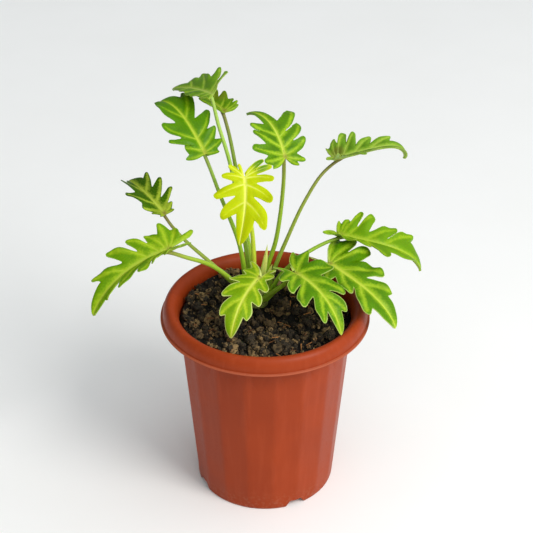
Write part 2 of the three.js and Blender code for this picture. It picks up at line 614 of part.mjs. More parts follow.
// The young sheath: a thin pointed blade rolled round the next leaf
function makeSheath(grownCrown) {
  const start = new THREE.Vector3(...sheath.from);
  const end = new THREE.Vector3(...sheath.to);
  const length = start.distanceTo(end);
  const half = sheath.width / 2;
  const profile = [[0, 0], [half * 0.8, 0], [half, length * 0.3], [half * 0.85, length * 0.62],
    [half * 0.4, length * 0.9], [0, length]];
  const spike = new THREE.LatheGeometry(profile.map(([r, z]) => new THREE.Vector2(r, z)), 10);
  spike.scale(1, 1, sheath.thick / sheath.width);
  const turn = new THREE.Quaternion().setFromUnitVectors(
    new THREE.Vector3(0, 1, 0), end.clone().sub(start).normalize());
  spike.applyQuaternion(turn);
  spike.translate(start.x, start.y, start.z);
  return solidOf(spike).subtract(grownCrown);
}

const plant = new THREE.Group();
function place(name, geometry, material) {
  const mesh = new THREE.Mesh(geometry, material);
  mesh.name = name;
  plant.add(mesh);
}

const grownCrown = makeCrown(seatGap);
place("pot", geometryOf(makePot()), finishes.pot);
place("soil", geometryOf(makeSoil(grownCrown)), finishes.soil);
place("crown", geometryOf(makeCrown(0)), finishes.crown);
place("sheath", geometryOf(makeSheath(grownCrown)), finishes.sheath);
for (const leaf of leaves) {
  place("stalk_" + leaf.name, geometryOf(makeStalk(leaf, grownCrown)), finishes.stalk);
  place("blade_" + leaf.name, makeBlade(leaf, bladeEdge, bladeRib), finishes[leaf.colour]);
}

export default plant;
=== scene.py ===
import math

import bpy
import numpy as np
from mathutils import Euler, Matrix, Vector, noise


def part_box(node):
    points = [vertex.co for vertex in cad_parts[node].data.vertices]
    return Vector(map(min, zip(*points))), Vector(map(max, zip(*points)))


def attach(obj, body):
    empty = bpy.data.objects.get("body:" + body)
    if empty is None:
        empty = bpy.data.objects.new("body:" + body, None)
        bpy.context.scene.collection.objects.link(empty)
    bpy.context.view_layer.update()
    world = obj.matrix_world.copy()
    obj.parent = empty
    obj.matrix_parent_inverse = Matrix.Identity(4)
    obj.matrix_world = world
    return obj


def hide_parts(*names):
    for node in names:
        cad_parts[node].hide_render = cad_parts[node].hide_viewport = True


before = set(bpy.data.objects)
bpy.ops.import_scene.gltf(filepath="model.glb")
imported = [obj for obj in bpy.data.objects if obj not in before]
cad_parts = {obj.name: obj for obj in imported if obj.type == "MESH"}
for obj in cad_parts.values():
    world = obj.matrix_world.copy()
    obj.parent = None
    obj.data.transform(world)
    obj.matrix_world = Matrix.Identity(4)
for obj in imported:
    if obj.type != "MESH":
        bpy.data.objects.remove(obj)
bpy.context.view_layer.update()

bpy.ops.object.select_all(action="DESELECT")


# The pot's body and rim
# One piece of terracotta-coloured polypropylene, moulded in a single shot. Eighteen flat panels run up
# the tapered body and fade out under a rolled rim, whose lip is a thin ledge.
MM = 0.001
ROUND_STEPS = 216
PANELS = 18
PANEL_TURN = math.radians(6.5)
POT_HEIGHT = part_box("pot")[1].z / MM
LIP_HEIGHT = 139.0
FOOT_RADIUS = 50.2
BODY_TOP_RADIUS = 61.8
BODY_TOP_HEIGHT = 141.0
RIM_CREST = 68.3
RIM_OUTSIDE = 73.2
RIM_WELL = 61.6
FLOOR_UNDER = 5.0
FLOOR_OVER = 7.0
FOOT_RING = 6.0
FADE_START = 127.0
FADE_END = 136.0
FOOT_FADE = 9.0
ROUND_BULGE = 0.62
LIP_WEAR_AND_SHINE = 139.7
ROLL_FOOT = 140.8
NECK_HEIGHT = 138.5
DRAIN_AWAY = 26
DRAIN_RADIUS = 4.5
NOTCH_WIDE = 17
NOTCH_NARROW = 9


def only(*pieces):
    """Selects these pieces alone, with the first as the active one."""
    bpy.ops.object.select_all(action="DESELECT")
    for piece in pieces:
        piece.select_set(True)
    bpy.context.view_layer.objects.active = pieces[0]


def extrude_rings(name, rings, steps):
    """A round piece extruded from ring to ring of (radius, height) in mm, with both ends closed."""
    radius, height = rings[0]
    bpy.ops.mesh.primitive_circle_add(vertices=steps, radius=radius * MM, location=(0, 0, height * MM))
    piece = bpy.context.object
    piece.name = name
    bpy.ops.object.transform_apply(location=True)
    bpy.ops.object.mode_set(mode="EDIT")
    bpy.ops.mesh.select_all(action="SELECT")
    for (r_before, z_before), (r, z) in zip(rings, rings[1:]):
        bpy.ops.mesh.extrude_edges_move(TRANSFORM_OT_translate={"value": (0, 0, (z - z_before) * MM)})
        bpy.ops.transform.resize(value=(r / r_before, r / r_before, 1), center_override=(0, 0, 0))
    bpy.ops.mesh.select_all(action="DESELECT")
    bpy.ops.mesh.select_non_manifold()
    bpy.ops.mesh.fill_holes(sides=0)
    bpy.ops.mesh.select_all(action="SELECT")
    bpy.ops.mesh.normals_make_consistent(inside=False)
    bpy.ops.object.mode_set(mode="OBJECT")
    return piece


def body_radius(height):
    """The flat panels' distance from the axis."""
    return FOOT_RADIUS + (BODY_TOP_RADIUS - FOOT_RADIUS) * height / BODY_TOP_HEIGHT


# The pot's rings: over its floor and up its inside, over the rolled rim, its lip and neck, then down the
# wall to the foot and in under the floor
rings = [(0.5, FLOOR_OVER), (30, FLOOR_OVER), (FOOT_RADIUS - 2.6, FLOOR_OVER), (FOOT_RADIUS - 1.6, 10)]
rings += [(RIM_WELL - 0.4, LIP_HEIGHT - 4), (RIM_WELL - 0.1, LIP_HEIGHT - 1)]
for turn in np.radians(np.arange(0, 90, 7.5)):
    height = LIP_HEIGHT + (POT_HEIGHT - LIP_HEIGHT) * math.sin(turn)
    rings.append((RIM_CREST - (RIM_CREST - RIM_WELL) * math.cos(turn), height))
for turn in np.radians(np.arange(0, 91, 7.5)):
    height = ROLL_FOOT + (POT_HEIGHT - ROLL_FOOT) * math.cos(turn)
    rings.append((RIM_CREST + (RIM_OUTSIDE - RIM_CREST) * math.sin(turn), height))
rings += [(73.25, 140.2), (73.5, 140.0), (74.5, 139.9), (74.75, 139.7), (74.8, 139.3), (74.7, 138.8)]
rings += [(74.3, 138.6), (73, NECK_HEIGHT), (66, NECK_HEIGHT)]
rings += [(body_radius(NECK_HEIGHT) + 0.8, 138.4), (body_radius(137.8) + 0.1, 137.8)]
for height in (*np.arange(136.5, FADE_START, -1.5), *np.arange(124, 14, -8.0), 10, 7.5, 5, 2.6):
    rings.append((body_radius(height), height))
rings += [(50.3, 1.3), (50.1, 0.5), (49.5, 0.1), (48.8, 0), (FOOT_RADIUS - FOOT_RING + 0.6, 0)]
rings += [(FOOT_RADIUS - FOOT_RING, 0.5), (FOOT_RADIUS - FOOT_RING, 4.6)]
rings += [(43.6, FLOOR_UNDER), (0.5, FLOOR_UNDER)]
pot = extrude_rings("pot_shell", rings, ROUND_STEPS)

# Flattening the body's panels: between its soft corners each panel lies at one distance from the axis
CORNER = 1 / math.cos(math.pi / PANELS) - 1
CORNER_SOFT = 0.86
for vertex in pot.data.vertices:
    x, y, z = vertex.co / MM
    if not (0 <= z < LIP_HEIGHT - 1.1 and math.hypot(x, y) > body_radius(z) - 1.5):
        continue
    across = ((math.atan2(y, x) - PANEL_TURN) * PANELS / (2 * math.pi) + 0.5) % 1
    share = abs(across - 0.5) * 2
    bulge = share**2 - max(share - CORNER_SOFT, 0) ** 2 / (1 - CORNER_SOFT)
    fade = min(max((z - FADE_START) / (FADE_END - FADE_START), 1 - z / FOOT_FADE, 0), 1)
    bulge += (ROUND_BULGE - bulge) * fade**2 * (3 - 2 * fade)
    vertex.co.x *= 1 + CORNER * bulge
    vertex.co.y *= 1 + CORNER * bulge

# Four drainage notches through the foot ring, and five drain holes through the floor
NOTCH_TURNS = np.radians(26 + 90 * np.arange(4) - 90)
DRAIN_TURNS = np.radians(36 + 72 * np.arange(5))


def cut_from(piece, cutters):
    """Joins the cutters, which lie clear of each other, and takes them out of the piece."""
    only(*cutters)
    bpy.ops.object.join()
    tool = bpy.context.object
    only(piece)
    cut = piece.modifiers.new("cut", "BOOLEAN")
    cut.object = tool
    bpy.ops.object.modifier_apply(modifier=cut.name)
    bpy.data.objects.remove(tool)


cutters = []
for turn in NOTCH_TURNS:
    bpy.ops.mesh.primitive_cube_add(size=1, location=(0, 0, 2 * MM))
    wedge = bpy.context.object
    wedge.scale = (30 * MM, NOTCH_WIDE * MM, 6 * MM)
    bpy.ops.object.transform_apply(location=True, scale=True)
    for vertex in wedge.data.vertices:
        if vertex.co.z > 0:
            vertex.co.y *= NOTCH_NARROW / NOTCH_WIDE
    wedge.location = (FOOT_RADIUS * math.cos(turn) * MM, FOOT_RADIUS * math.sin(turn) * MM, 0)
    wedge.rotation_euler.z = turn
    cutters.append(wedge)
for turn in DRAIN_TURNS:
    place = (DRAIN_AWAY * math.cos(turn) * MM, DRAIN_AWAY * math.sin(turn) * MM, 6 * MM)
    bpy.ops.mesh.primitive_cylinder_add(vertices=32, radius=DRAIN_RADIUS * MM, depth=6 * MM, location=place)
    cutters.append(bpy.context.object)
cut_from(pot, cutters)
bpy.ops.object.shade_smooth_by_angle(angle=math.radians(32))


def colour(red, green, blue):
    """A colour of a painter's 0 to 255 scale as the linear values that a shader takes."""
    shares = [value / 255 for value in (red, green, blue)]
    return (*(s / 12.92 if s <= 0.04045 else ((s + 0.055) / 1.055) ** 2.4 for s in shares), 1)


def put(kind, values, tree=None, **settings):
    """Adds a node, with its inputs set or linked, to a tree or else to that of the first socket given."""
    tree = tree or next(value.id_data for value in values.values() if isinstance(value, bpy.types.NodeSocket))
    node = tree.nodes.new("ShaderNode" + kind)
    for name, value in settings.items():
        setattr(node, name, value)
    for socket, value in values.items():
        if isinstance(value, bpy.types.NodeSocket):
            tree.links.new(value, node.inputs[socket])
        else:
            node.inputs[socket].default_value = value
    return node


def sum_of(operation, first, second=0.0, third=0.0):
    """The outcome of one Math node."""
    return put("Math", {0: first, 1: second, 2: third}, operation=operation).outputs[0]


def eased(value, start, end, low=0.0, high=1.0):
    """Low up to start and high past end, with a soft passage between."""
    values = {"Value": value, "From Min": start, "From Max": end, "To Min": low, "To Max": high}
    return put("MapRange", values, interpolation_type="SMOOTHSTEP").outputs[0]


def mixed(share, first, second, blend="MIX"):
    """One colour over another, by a share."""
    node = put("Mix", {0: share, 6: first, 7: second}, data_type="RGBA", blend_type=blend)
    return node.outputs[2]


def layered(base, *layers):
    """Lays colours on a base: each mask, where it starts and where it is full, its share and its colour."""
    for mask, start, end, share, shade in layers:
        base = mixed(eased(mask, start, end, 0.0, share), base, colour(*shade))
    return base


def grain(place, scale, detail=2.0, roughness=0.5):
    """A cloudy noise from 0 to 1, so many patches to the metre."""
    values = {"Vector": place, "Scale": scale, "Detail": detail, "Roughness": roughness}
    return put("TexNoise", values).outputs[0]


def stretched(place, scale):
    """A place scaled along X, Y and Z, for a pattern that is drawn out one way."""
    return put("Mapping", {"Vector": place, "Scale": scale}).outputs[0]


def new_finish(name, roughness, shine=0.5, soft=0.0, soft_depth=0.001):
    """A material with one Principled shader: how rough and shiny it is, and how light soaks into it."""
    finish = bpy.data.materials.new(name)
    finish.use_nodes = True
    tree = finish.node_tree
    tree.nodes.clear()
    constants = {"Roughness": roughness, "Specular IOR Level": shine, "Subsurface Weight": soft}
    shader = put("BsdfPrincipled", {**constants, "Subsurface Scale": soft_depth}, tree)
    put("OutputMaterial", {0: shader.outputs[0]})
    return finish, tree, shader


def lay_on(shader, base, relief, strength, depth):
    """Gives a shader its colour, and its relief as a bump so many metres deep."""
    bump = put("Bump", {"Height": relief, "Strength": strength, "Distance": depth})
    shader.id_data.links.new(base, shader.inputs["Base Color"])
    shader.id_data.links.new(bump.outputs[0], shader.inputs["Normal"])


def new_group(name, inputs, outputs):
    """A node group with its sockets; gives its tree, what comes in by name, and where its outcomes go."""
    tree = bpy.data.node_groups.new(name, "ShaderNodeTree")
    for label, (kind, value) in inputs.items():
        socket = tree.interface.new_socket(label, in_out="INPUT", socket_type="NodeSocket" + kind)
        socket.default_value = value
    for label, kind in outputs.items():
        tree.interface.new_socket(label, in_out="OUTPUT", socket_type="NodeSocket" + kind)
    return tree, tree.nodes.new("NodeGroupInput").outputs, tree.nodes.new("NodeGroupOutput").inputs


# Two sizes of mottle and a fine tooth, which every piece of the plant and pot shares
tree, given, taken = new_group(
    "mottle",
    {"Vector": ("Vector", (0, 0, 0)), "Patches": ("Float", 40.0), "Specks": ("Float", 400.0)},
    {"Patch": "Float", "Speck": "Float", "Tooth": "Float"},
)
place = given["Vector"]
fine = sum_of("MULTIPLY", given["Specks"], 5.0)
tree.links.new(grain(place, given["Patches"], 3.0), taken["Patch"])
tree.links.new(grain(place, given["Specks"]), taken["Speck"])
tree.links.new(grain(place, fine), taken["Tooth"])


def mottle(place, patches, specks):
    """The shared mottle, placed in one material with its own sizes."""
    sizes = {"Vector": place, "Patches": patches, "Specks": specks}
    return put("Group", sizes, node_tree=bpy.data.node_groups["mottle"]).outputs


plastic, tree, shader = new_finish("terracotta_plastic", 0.4, 0.15)
place = put("TexCoord", {}, tree).outputs["Object"]
marks = mottle(place, 28.0, 420.0)
streaks = grain(stretched(place, (260, 260, 14)), 1.0, 3.0)
base = mixed(eased(marks["Patch"], 0.3, 0.7), colour(146, 53, 17), colour(155, 58, 20))
base = layered(base, (streaks, 0.45, 0.75, 0.25, (171, 72, 38)))
height = put("SeparateXYZ", {0: place}).outputs[2]
level = put("VectorMath", {0: place, 1: (1, 1, 0)}, operation="MULTIPLY").outputs[0]
away = put("VectorMath", {0: level}, operation="LENGTH").outputs["Value"]
dust = eased(marks["Speck"], 0.45, 0.7, 0.0, 0.45)
dusty = sum_of("MULTIPLY", eased(height, 0.02, 0.0), dust)
base = mixed(dusty, base, colour(164, 102, 76))
# A pale line round the lip's outer edge: wear, and a painted highlight where the thin ledge catches the light
worn_and_lit = sum_of("COMPARE", height, LIP_WEAR_AND_SHINE * MM, 0.0006)
outermost = eased(away, RIM_OUTSIDE * MM, (RIM_OUTSIDE + 0.4) * MM, 0.0, 0.22)
worn_and_lit = sum_of("MULTIPLY", worn_and_lit, outermost)
base = mixed(worn_and_lit, base, colour(214, 140, 108))
rough = eased(marks["Patch"], 0.3, 0.7, 0.36, 0.46)
rough = sum_of("ADD", rough, eased(marks["Speck"], 0.5, 0.8, 0.0, 0.1))
tree.links.new(rough, shader.inputs["Roughness"])
relief = sum_of("MULTIPLY_ADD", marks["Tooth"], 0.3, sum_of("MULTIPLY", streaks, 0.5))
lay_on(shader, base, relief, 0.25, 0.0001)
pot.data.materials.append(plastic)
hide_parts("pot")
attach(pot, "root")


# The potting mix
# Peat, bark fines and baked clay crumbs, tipped in loose and settled. Knobbly crumbs up to 9 mm lie in
# smaller ones, with slivers of bark among them. The mix fills the pot to just under its rim, and is heaped
# a little against the back left of it.
SOIL_HEIGHT = 139.5
SOIL_RADIUS = 60.8
SOIL_BOTTOM = 7.3
SOIL_BOTTOM_RADIUS = 47.3
BED_SUNK = 2.6
CRUMB_LIMIT = 144.4
CROWN_PLACE = np.array([-6.0, 18.0])
CROWN_CLEAR = 9.5
HEAP_HEIGHT = 6.0
HEAP_TURN = math.radians(130)


def soil_rise(x, y):
    """How much higher the mix lies where it is heaped against the back left of the pot."""
    toward = (x * math.cos(HEAP_TURN) + y * math.sin(HEAP_TURN)) / SOIL_RADIUS
    return HEAP_HEIGHT * np.maximum(toward, 0) ** 2


def kept(tree, name, socket="Fac"):
    """A value that the mesh keeps for its finish."""
    return put("Attribute", {}, tree, attribute_name=name).outputs[socket]


def mesh_piece(name, corners, faces):
    """A new piece from its corners in mm and its faces, selected alone."""
    mesh = bpy.data.meshes.new(name)
    mesh.from_pydata((corners * MM).tolist(), [], faces)
    piece = bpy.data.objects.new(name, mesh)
    bpy.context.scene.collection.objects.link(piece)
    only(piece)
    return piece


def keep(mesh, name, values, kind="FLOAT", domain="POINT"):
    """Keeps values with a mesh's points, corners or faces, for its finish to read."""
    layer = mesh.attributes.new(name, kind, domain)
    layer.data.foreach_set("value" if kind == "FLOAT" else "vector", np.ravel(values))


rings = [(0.5, SOIL_BOTTOM), (SOIL_BOTTOM_RADIUS, SOIL_BOTTOM), (SOIL_RADIUS - 0.4, SOIL_HEIGHT - 4)]
rings += [(SOIL_RADIUS, SOIL_HEIGHT - 3.2)]
rings += [(radius, SOIL_HEIGHT - BED_SUNK) for radius in np.arange(SOIL_RADIUS - 1.8, 1, -2.0)]
soil = extrude_rings("potting_mix", rings, 96)
for vertex in soil.data.vertices:
    x, y, z = vertex.co / MM
    if z > SOIL_HEIGHT - BED_SUNK - 0.2:
        vertex.co.z += (noise.noise(Vector((x, y, 3)) / 7) * 1.4 + soil_rise(x, y)) * MM

# Knobbly crumb forms: each crumb in the pot is a copy of one of them, the large ones of a finer form
def crumb_form(fineness, seed):
    """A lump with knobs and creases: its corners, its faces, and how far out each corner stands."""
    bpy.ops.mesh.primitive_ico_sphere_add(subdivisions=fineness, radius=1)
    form = bpy.context.object
    corners = np.array([v.co[:] for v in form.data.vertices])
    lumps = [noise.noise(Vector(c) * 1.2 + Vector((seed * 9, 0, 0))) for c in corners]
    knobs = [noise.voronoi(Vector(c) * 2.1 + Vector((0, seed * 9, 0)))[0][0] for c in corners]
    reach = 1.15 + 0.4 * np.array(lumps) - 0.5 * np.array(knobs)
    faces = np.array([f.vertices[:] for f in form.data.polygons])
    bpy.data.objects.remove(form)
    return corners * reach[:, None], faces, reach


large_forms = [crumb_form(3, seed) for seed in range(6)]
small_forms = [crumb_form(2, seed) for seed in range(6, 10)]
fine_forms = [crumb_form(1, seed) for seed in range(10, 13)]

# The crumbs fall one by one, the large ones first, and each lies on what is under it
draw = np.random.default_rng(11)
CELL = 0.5
SEAT_SHARE = 0.55
CENTRE_SHARE = 0.35
TOP_SHARE = 0.95
COVER_SHARE = 0.85
DOME_SHARE = 0.9
edge_cells = int(SOIL_RADIUS / CELL) + 2
grid_x, grid_y = np.meshgrid(*[np.arange(-edge_cells, edge_cells + 1) * CELL] * 2, indexing="ij")
ground = SOIL_HEIGHT - BED_SUNK + soil_rise(grid_x, grid_y)
crumb_parts = []


def landing(reach):
    """Where a crumb lands on the mix, up to so far from the middle."""
    away = reach * math.sqrt(draw.random())
    turn = 2 * math.pi * draw.random()
    return away * np.array([math.cos(turn), math.sin(turn)])


CRUMB_KINDS = (
    {"count": 110, "least": 3.4, "most": 5.4, "sunk": 0.1, "forms": large_forms},
    {"count": 420, "least": 1.7, "most": 3.2, "sunk": 0.15, "forms": small_forms},
    {"count": 700, "least": 0.6, "most": 1.2, "sunk": -0.3, "forms": fine_forms},
)
for kind in CRUMB_KINDS:
    for _ in range(kind["count"]):
        size = kind["least"] + (kind["most"] - kind["least"]) * draw.random() ** 1.3
        spot = landing(SOIL_RADIUS - size - 0.4)
        if np.hypot(*(spot - CROWN_PLACE)) < CROWN_CLEAR + size:
            continue
        apart = np.hypot(grid_x - spot[0], grid_y - spot[1])
        rest = np.mean(ground[apart < max(SEAT_SHARE * size, CELL)])
        centre = rest + (CENTRE_SHARE - kind["sunk"]) * size
        if centre + TOP_SHARE * size > CRUMB_LIMIT + soil_rise(*spot):
            continue
        covered = apart < COVER_SHARE * size
        dome = centre + np.sqrt(np.maximum((DOME_SHARE * size) ** 2 - apart**2, 0))
        ground[covered] = np.maximum(ground, dome)[covered]
        corners, faces, reach = kind["forms"][draw.integers(len(kind["forms"]))]
        flat = size * np.array([1, 0.8 + 0.3 * draw.random(), 0.7 + 0.2 * draw.random()])
        turned = Euler(6 * draw.random(3)).to_matrix().transposed()
        corners = corners * flat @ np.array(turned) + [*spot, centre]
        crumb_parts.append((corners, faces, np.full(len(corners), draw.random()), reach))

# Slivers of bark: split flat shreds that lie on the crumbs
SLIVER_COUNT = 30
box_corners = np.array([[x, y, z] for x in (-0.5, 0.5) for y in (-0.5, 0.5) for z in (-0.5, 0.5)])
box_faces = np.array([[0, 1, 3], [0, 3, 2], [4, 6, 7], [4, 7, 5], [0, 4, 5], [0, 5, 1], [2, 3, 7], [2, 7, 6],
                      [0, 2, 6], [0, 6, 4], [1, 5, 7], [1, 7, 3]])
for _ in range(SLIVER_COUNT):
    spot = landing(SOIL_RADIUS - 6)
    if np.hypot(*(spot - CROWN_PLACE)) < CROWN_CLEAR + 5:
        continue
    rest = ground[np.hypot(grid_x - spot[0], grid_y - spot[1]) < 1.5].max()
    shape = box_corners * [2 + 4 * draw.random(), 0.5 + 0.6 * draw.random(), 0.35]
    shape[:, 1] *= 1 - 0.5 * (shape[:, 0] > 0)
    tilt = Euler([0.6 * draw.random() - 0.3, 0.5 * draw.random() - 0.25, 6.3 * draw.random()])
    height = min(rest + 0.1, CRUMB_LIMIT - 1 + soil_rise(*spot))
    shape = shape @ np.array(tilt.to_matrix().transposed()) + [*spot, height]
    crumb_parts.append((shape, box_faces, np.full(8, 1 + draw.random()), np.ones(8)))
corners, faces, tones, reaches = zip(*crumb_parts)
starts = np.cumsum([0, *map(len, corners)])
faces = np.concatenate([face + start for face, start in zip(faces, starts)])
crumbs = mesh_piece("crumbs", np.concatenate(corners), faces.tolist())
keep(crumbs.data, "crumb_tone", np.concatenate(tones))
keep(crumbs.data, "crumb_reach", np.concatenate(reaches))
only(soil, crumbs)
bpy.ops.object.join()
bpy.ops.object.shade_smooth_by_angle(angle=math.radians(50))

mix_finish, tree, shader = new_finish("potting_mix", 0.92, 0.3)
place = put("TexCoord", {}, tree).outputs["Object"]
marks = mottle(place, 170.0, 900.0)
tone = kept(tree, "crumb_tone")
reach = kept(tree, "crumb_reach")
base = mixed(eased(tone, 0.3, 1.0), colour(52, 44, 32), colour(164, 134, 88))
base = layered(
    base,
    (marks["Patch"], 0.4, 0.66, 0.5, (60, 53, 42)),
    (marks["Speck"], 0.6, 0.72, 0.7, (142, 114, 74)),
    (marks["Speck"], 0.42, 0.3, 0.8, (16, 13, 9)),
)
russet = sum_of("MULTIPLY", eased(tone, 0.93, 0.97), eased(marks["Speck"], 0.4, 0.6))
base = mixed(russet, base, colour(128, 86, 50))
bark = mixed(eased(tone, 1.0, 2.0), colour(86, 52, 28), colour(176, 118, 66))
base = mixed(eased(tone, 0.999, 1.001), base, bark)
# Painted shade: the crumbs' creases, where their corners stand in least, and the bed between them, which
# keeps no reach, darken to near black
base = mixed(eased(reach, 0.62, 0.98, 0.92, 0.0), base, colour(10, 8, 6))
relief = sum_of("MULTIPLY_ADD", marks["Tooth"], 0.4, marks["Speck"])
lay_on(shader, base, relief, 0.9, 0.0009)
soil.data.materials.clear()
soil.data.materials.append(mix_finish)
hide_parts("soil")
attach(soil, "root")


# The crown
# The plant's short green main stem, ringed by the scars and torn bases of fallen leaves. It grew there,
# stands in the mix with its roots below, and every stalk leaves it between two of those rings.
CROWN_RADIUS = 8.6
CROWN_BOTTOM = 112.0
CROWN_SHOULDER = 143.0
CROWN_TOP = 151.0
rings = [(0.5, CROWN_BOTTOM), (0.8 * CROWN_RADIUS, CROWN_BOTTOM)]
for z in np.arange(CROWN_BOTTOM + 3, CROWN_SHOULDER, 0.8):
    rings.append((CROWN_RADIUS * (0.95 + 0.05 * math.cos(z * 1.5)), z))
for turn in np.linspace(0, math.pi / 2, 14):
    height = CROWN_SHOULDER + (CROWN_TOP - CROWN_SHOULDER) * math.sin(turn)
    rings.append((max(CROWN_RADIUS * math.cos(turn), 0.4), height))
crown = extrude_rings("crown_stem", rings, 64)
for vertex in crown.data.vertices:
    x, y, z = vertex.co / MM
    swell = 1 + 0.07 * noise.noise(Vector((x, y, z)) / 4) - 0.02
    vertex.co = Vector((x * swell + CROWN_PLACE[0], y * swell + CROWN_PLACE[1], z)) * MM
only(crown)
bpy.ops.object.shade_smooth()

crown_finish, tree, shader = new_finish("crown_skin", 0.6)
place = put("TexCoord", {}, tree).outputs["Object"]
marks = mottle(place, 120.0, 700.0)
rings = grain(stretched(place, (60, 60, 700)), 1.0, 2.0)
base = mixed(eased(marks["Patch"], 0.35, 0.65), colour(132, 150, 62), colour(176, 182, 98))
layers = (rings, 0.52, 0.66, 0.8, (112, 92, 52)), (marks["Speck"], 0.6, 0.75, 0.6, (78, 60, 36))
base = layered(base, *layers)
relief = sum_of("MULTIPLY_ADD", marks["Tooth"], 0.4, rings)
lay_on(shader, base, relief, 0.6, 0.0006)
crown.data.materials.append(crown_finish)
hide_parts("crown")
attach(crown, "root")


# The young sheath
# Two thin, pale, pointed scales rolled round each other, papery at their tips. They grew round the next
# leaf before it opened, and stand on the crown beside the golden leaf's stalk.
SHEATH_FOOT = Vector((-3.6, 20, 146))
SHEATH_SCALES = (
    {"tip": Vector((1, 20, 185.6)), "wide": 4.7, "flat": 0.6, "turn": 0.4},
    {"tip": Vector((4.5, 18.6, 170)), "wide": 4.0, "flat": 0.5, "turn": 1.6},
)
scales = []
for scale in SHEATH_SCALES:
    reach = (scale["tip"] - SHEATH_FOOT).length
    half = scale["wide"] / 2
    shares = np.linspace(0, 1, 26)
    rings = [(half * max((1 - s**3.5) * (0.8 + 0.7 * s * (1 - s)), 0.04), reach * s) for s in shares]
    spike = extrude_rings("scale", rings, 28)
    lean = Vector((0, 0, 1)).rotation_difference(scale["tip"] - SHEATH_FOOT)
    for vertex in spike.data.vertices:
        x, y, z = vertex.co / MM
        lap = 1 + 0.16 * math.exp(-((math.atan2(y, x) - scale["turn"] - 0.04 * z) ** 2) / 0.08)
        shape = Vector((x * lap, y * lap * scale["flat"], z))
        shape.x += 0.9 * math.sin(2.4 * z / reach) * (z / reach)
        vertex.co = (SHEATH_FOOT + lean @ shape) * MM
    scales.append(spike)
only(*scales)
bpy.ops.object.join()
sheath = bpy.context.object
sheath.name = "young_sheath"
bpy.ops.object.shade_smooth()

sheath_finish, tree, shader = new_finish("sheath_skin", 0.5, 0.2, 0.1, 0.002)
place = put("TexCoord", {}, tree).outputs["Object"]
marks = mottle(place, 90.0, 600.0)
threads = grain(stretched(place, (1500, 1500, 60)), 1.0, 2.0)
height = put("SeparateXYZ", {0: place}).outputs[2]
base = mixed(eased(height, 0.15, 0.175), colour(170, 200, 50), colour(212, 222, 104))
layers = (threads, 0.4, 0.7, 0.5, (226, 232, 150)), (marks["Speck"], 0.6, 0.75, 0.4, (178, 150, 84))
base = layered(base, *layers)
lay_on(shader, base, threads, 0.4, 0.0002)
sheath.data.materials.append(sheath_finish)
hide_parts("sheath")
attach(sheath, "root")


# The leaves
# Twelve leaves, each grown in one: a fleshy stalk from the crown and a thin leathery blade, cut into
# rounded lobes, ruffled at its edge and bent over by its own weight.
RUFFLE = 1.3
RUFFLE_LENGTH = 13.0
RUFFLE_REACH = 22.0
STATIONS = np.linspace(0, 1, 61)


def usual_leaf(**sizes):
    """A leaf's sizes, with those that most leaves have where a row gives none."""
    usual = {"roll": (0, 0), "fold": (10, 10, 10, 10), "curl": (0.3, 0.3), "bend": 1.5, "swell": 0.12}
    return {**usual, "lean": 0.3, "stain": (-99, 0, 1), **sizes}


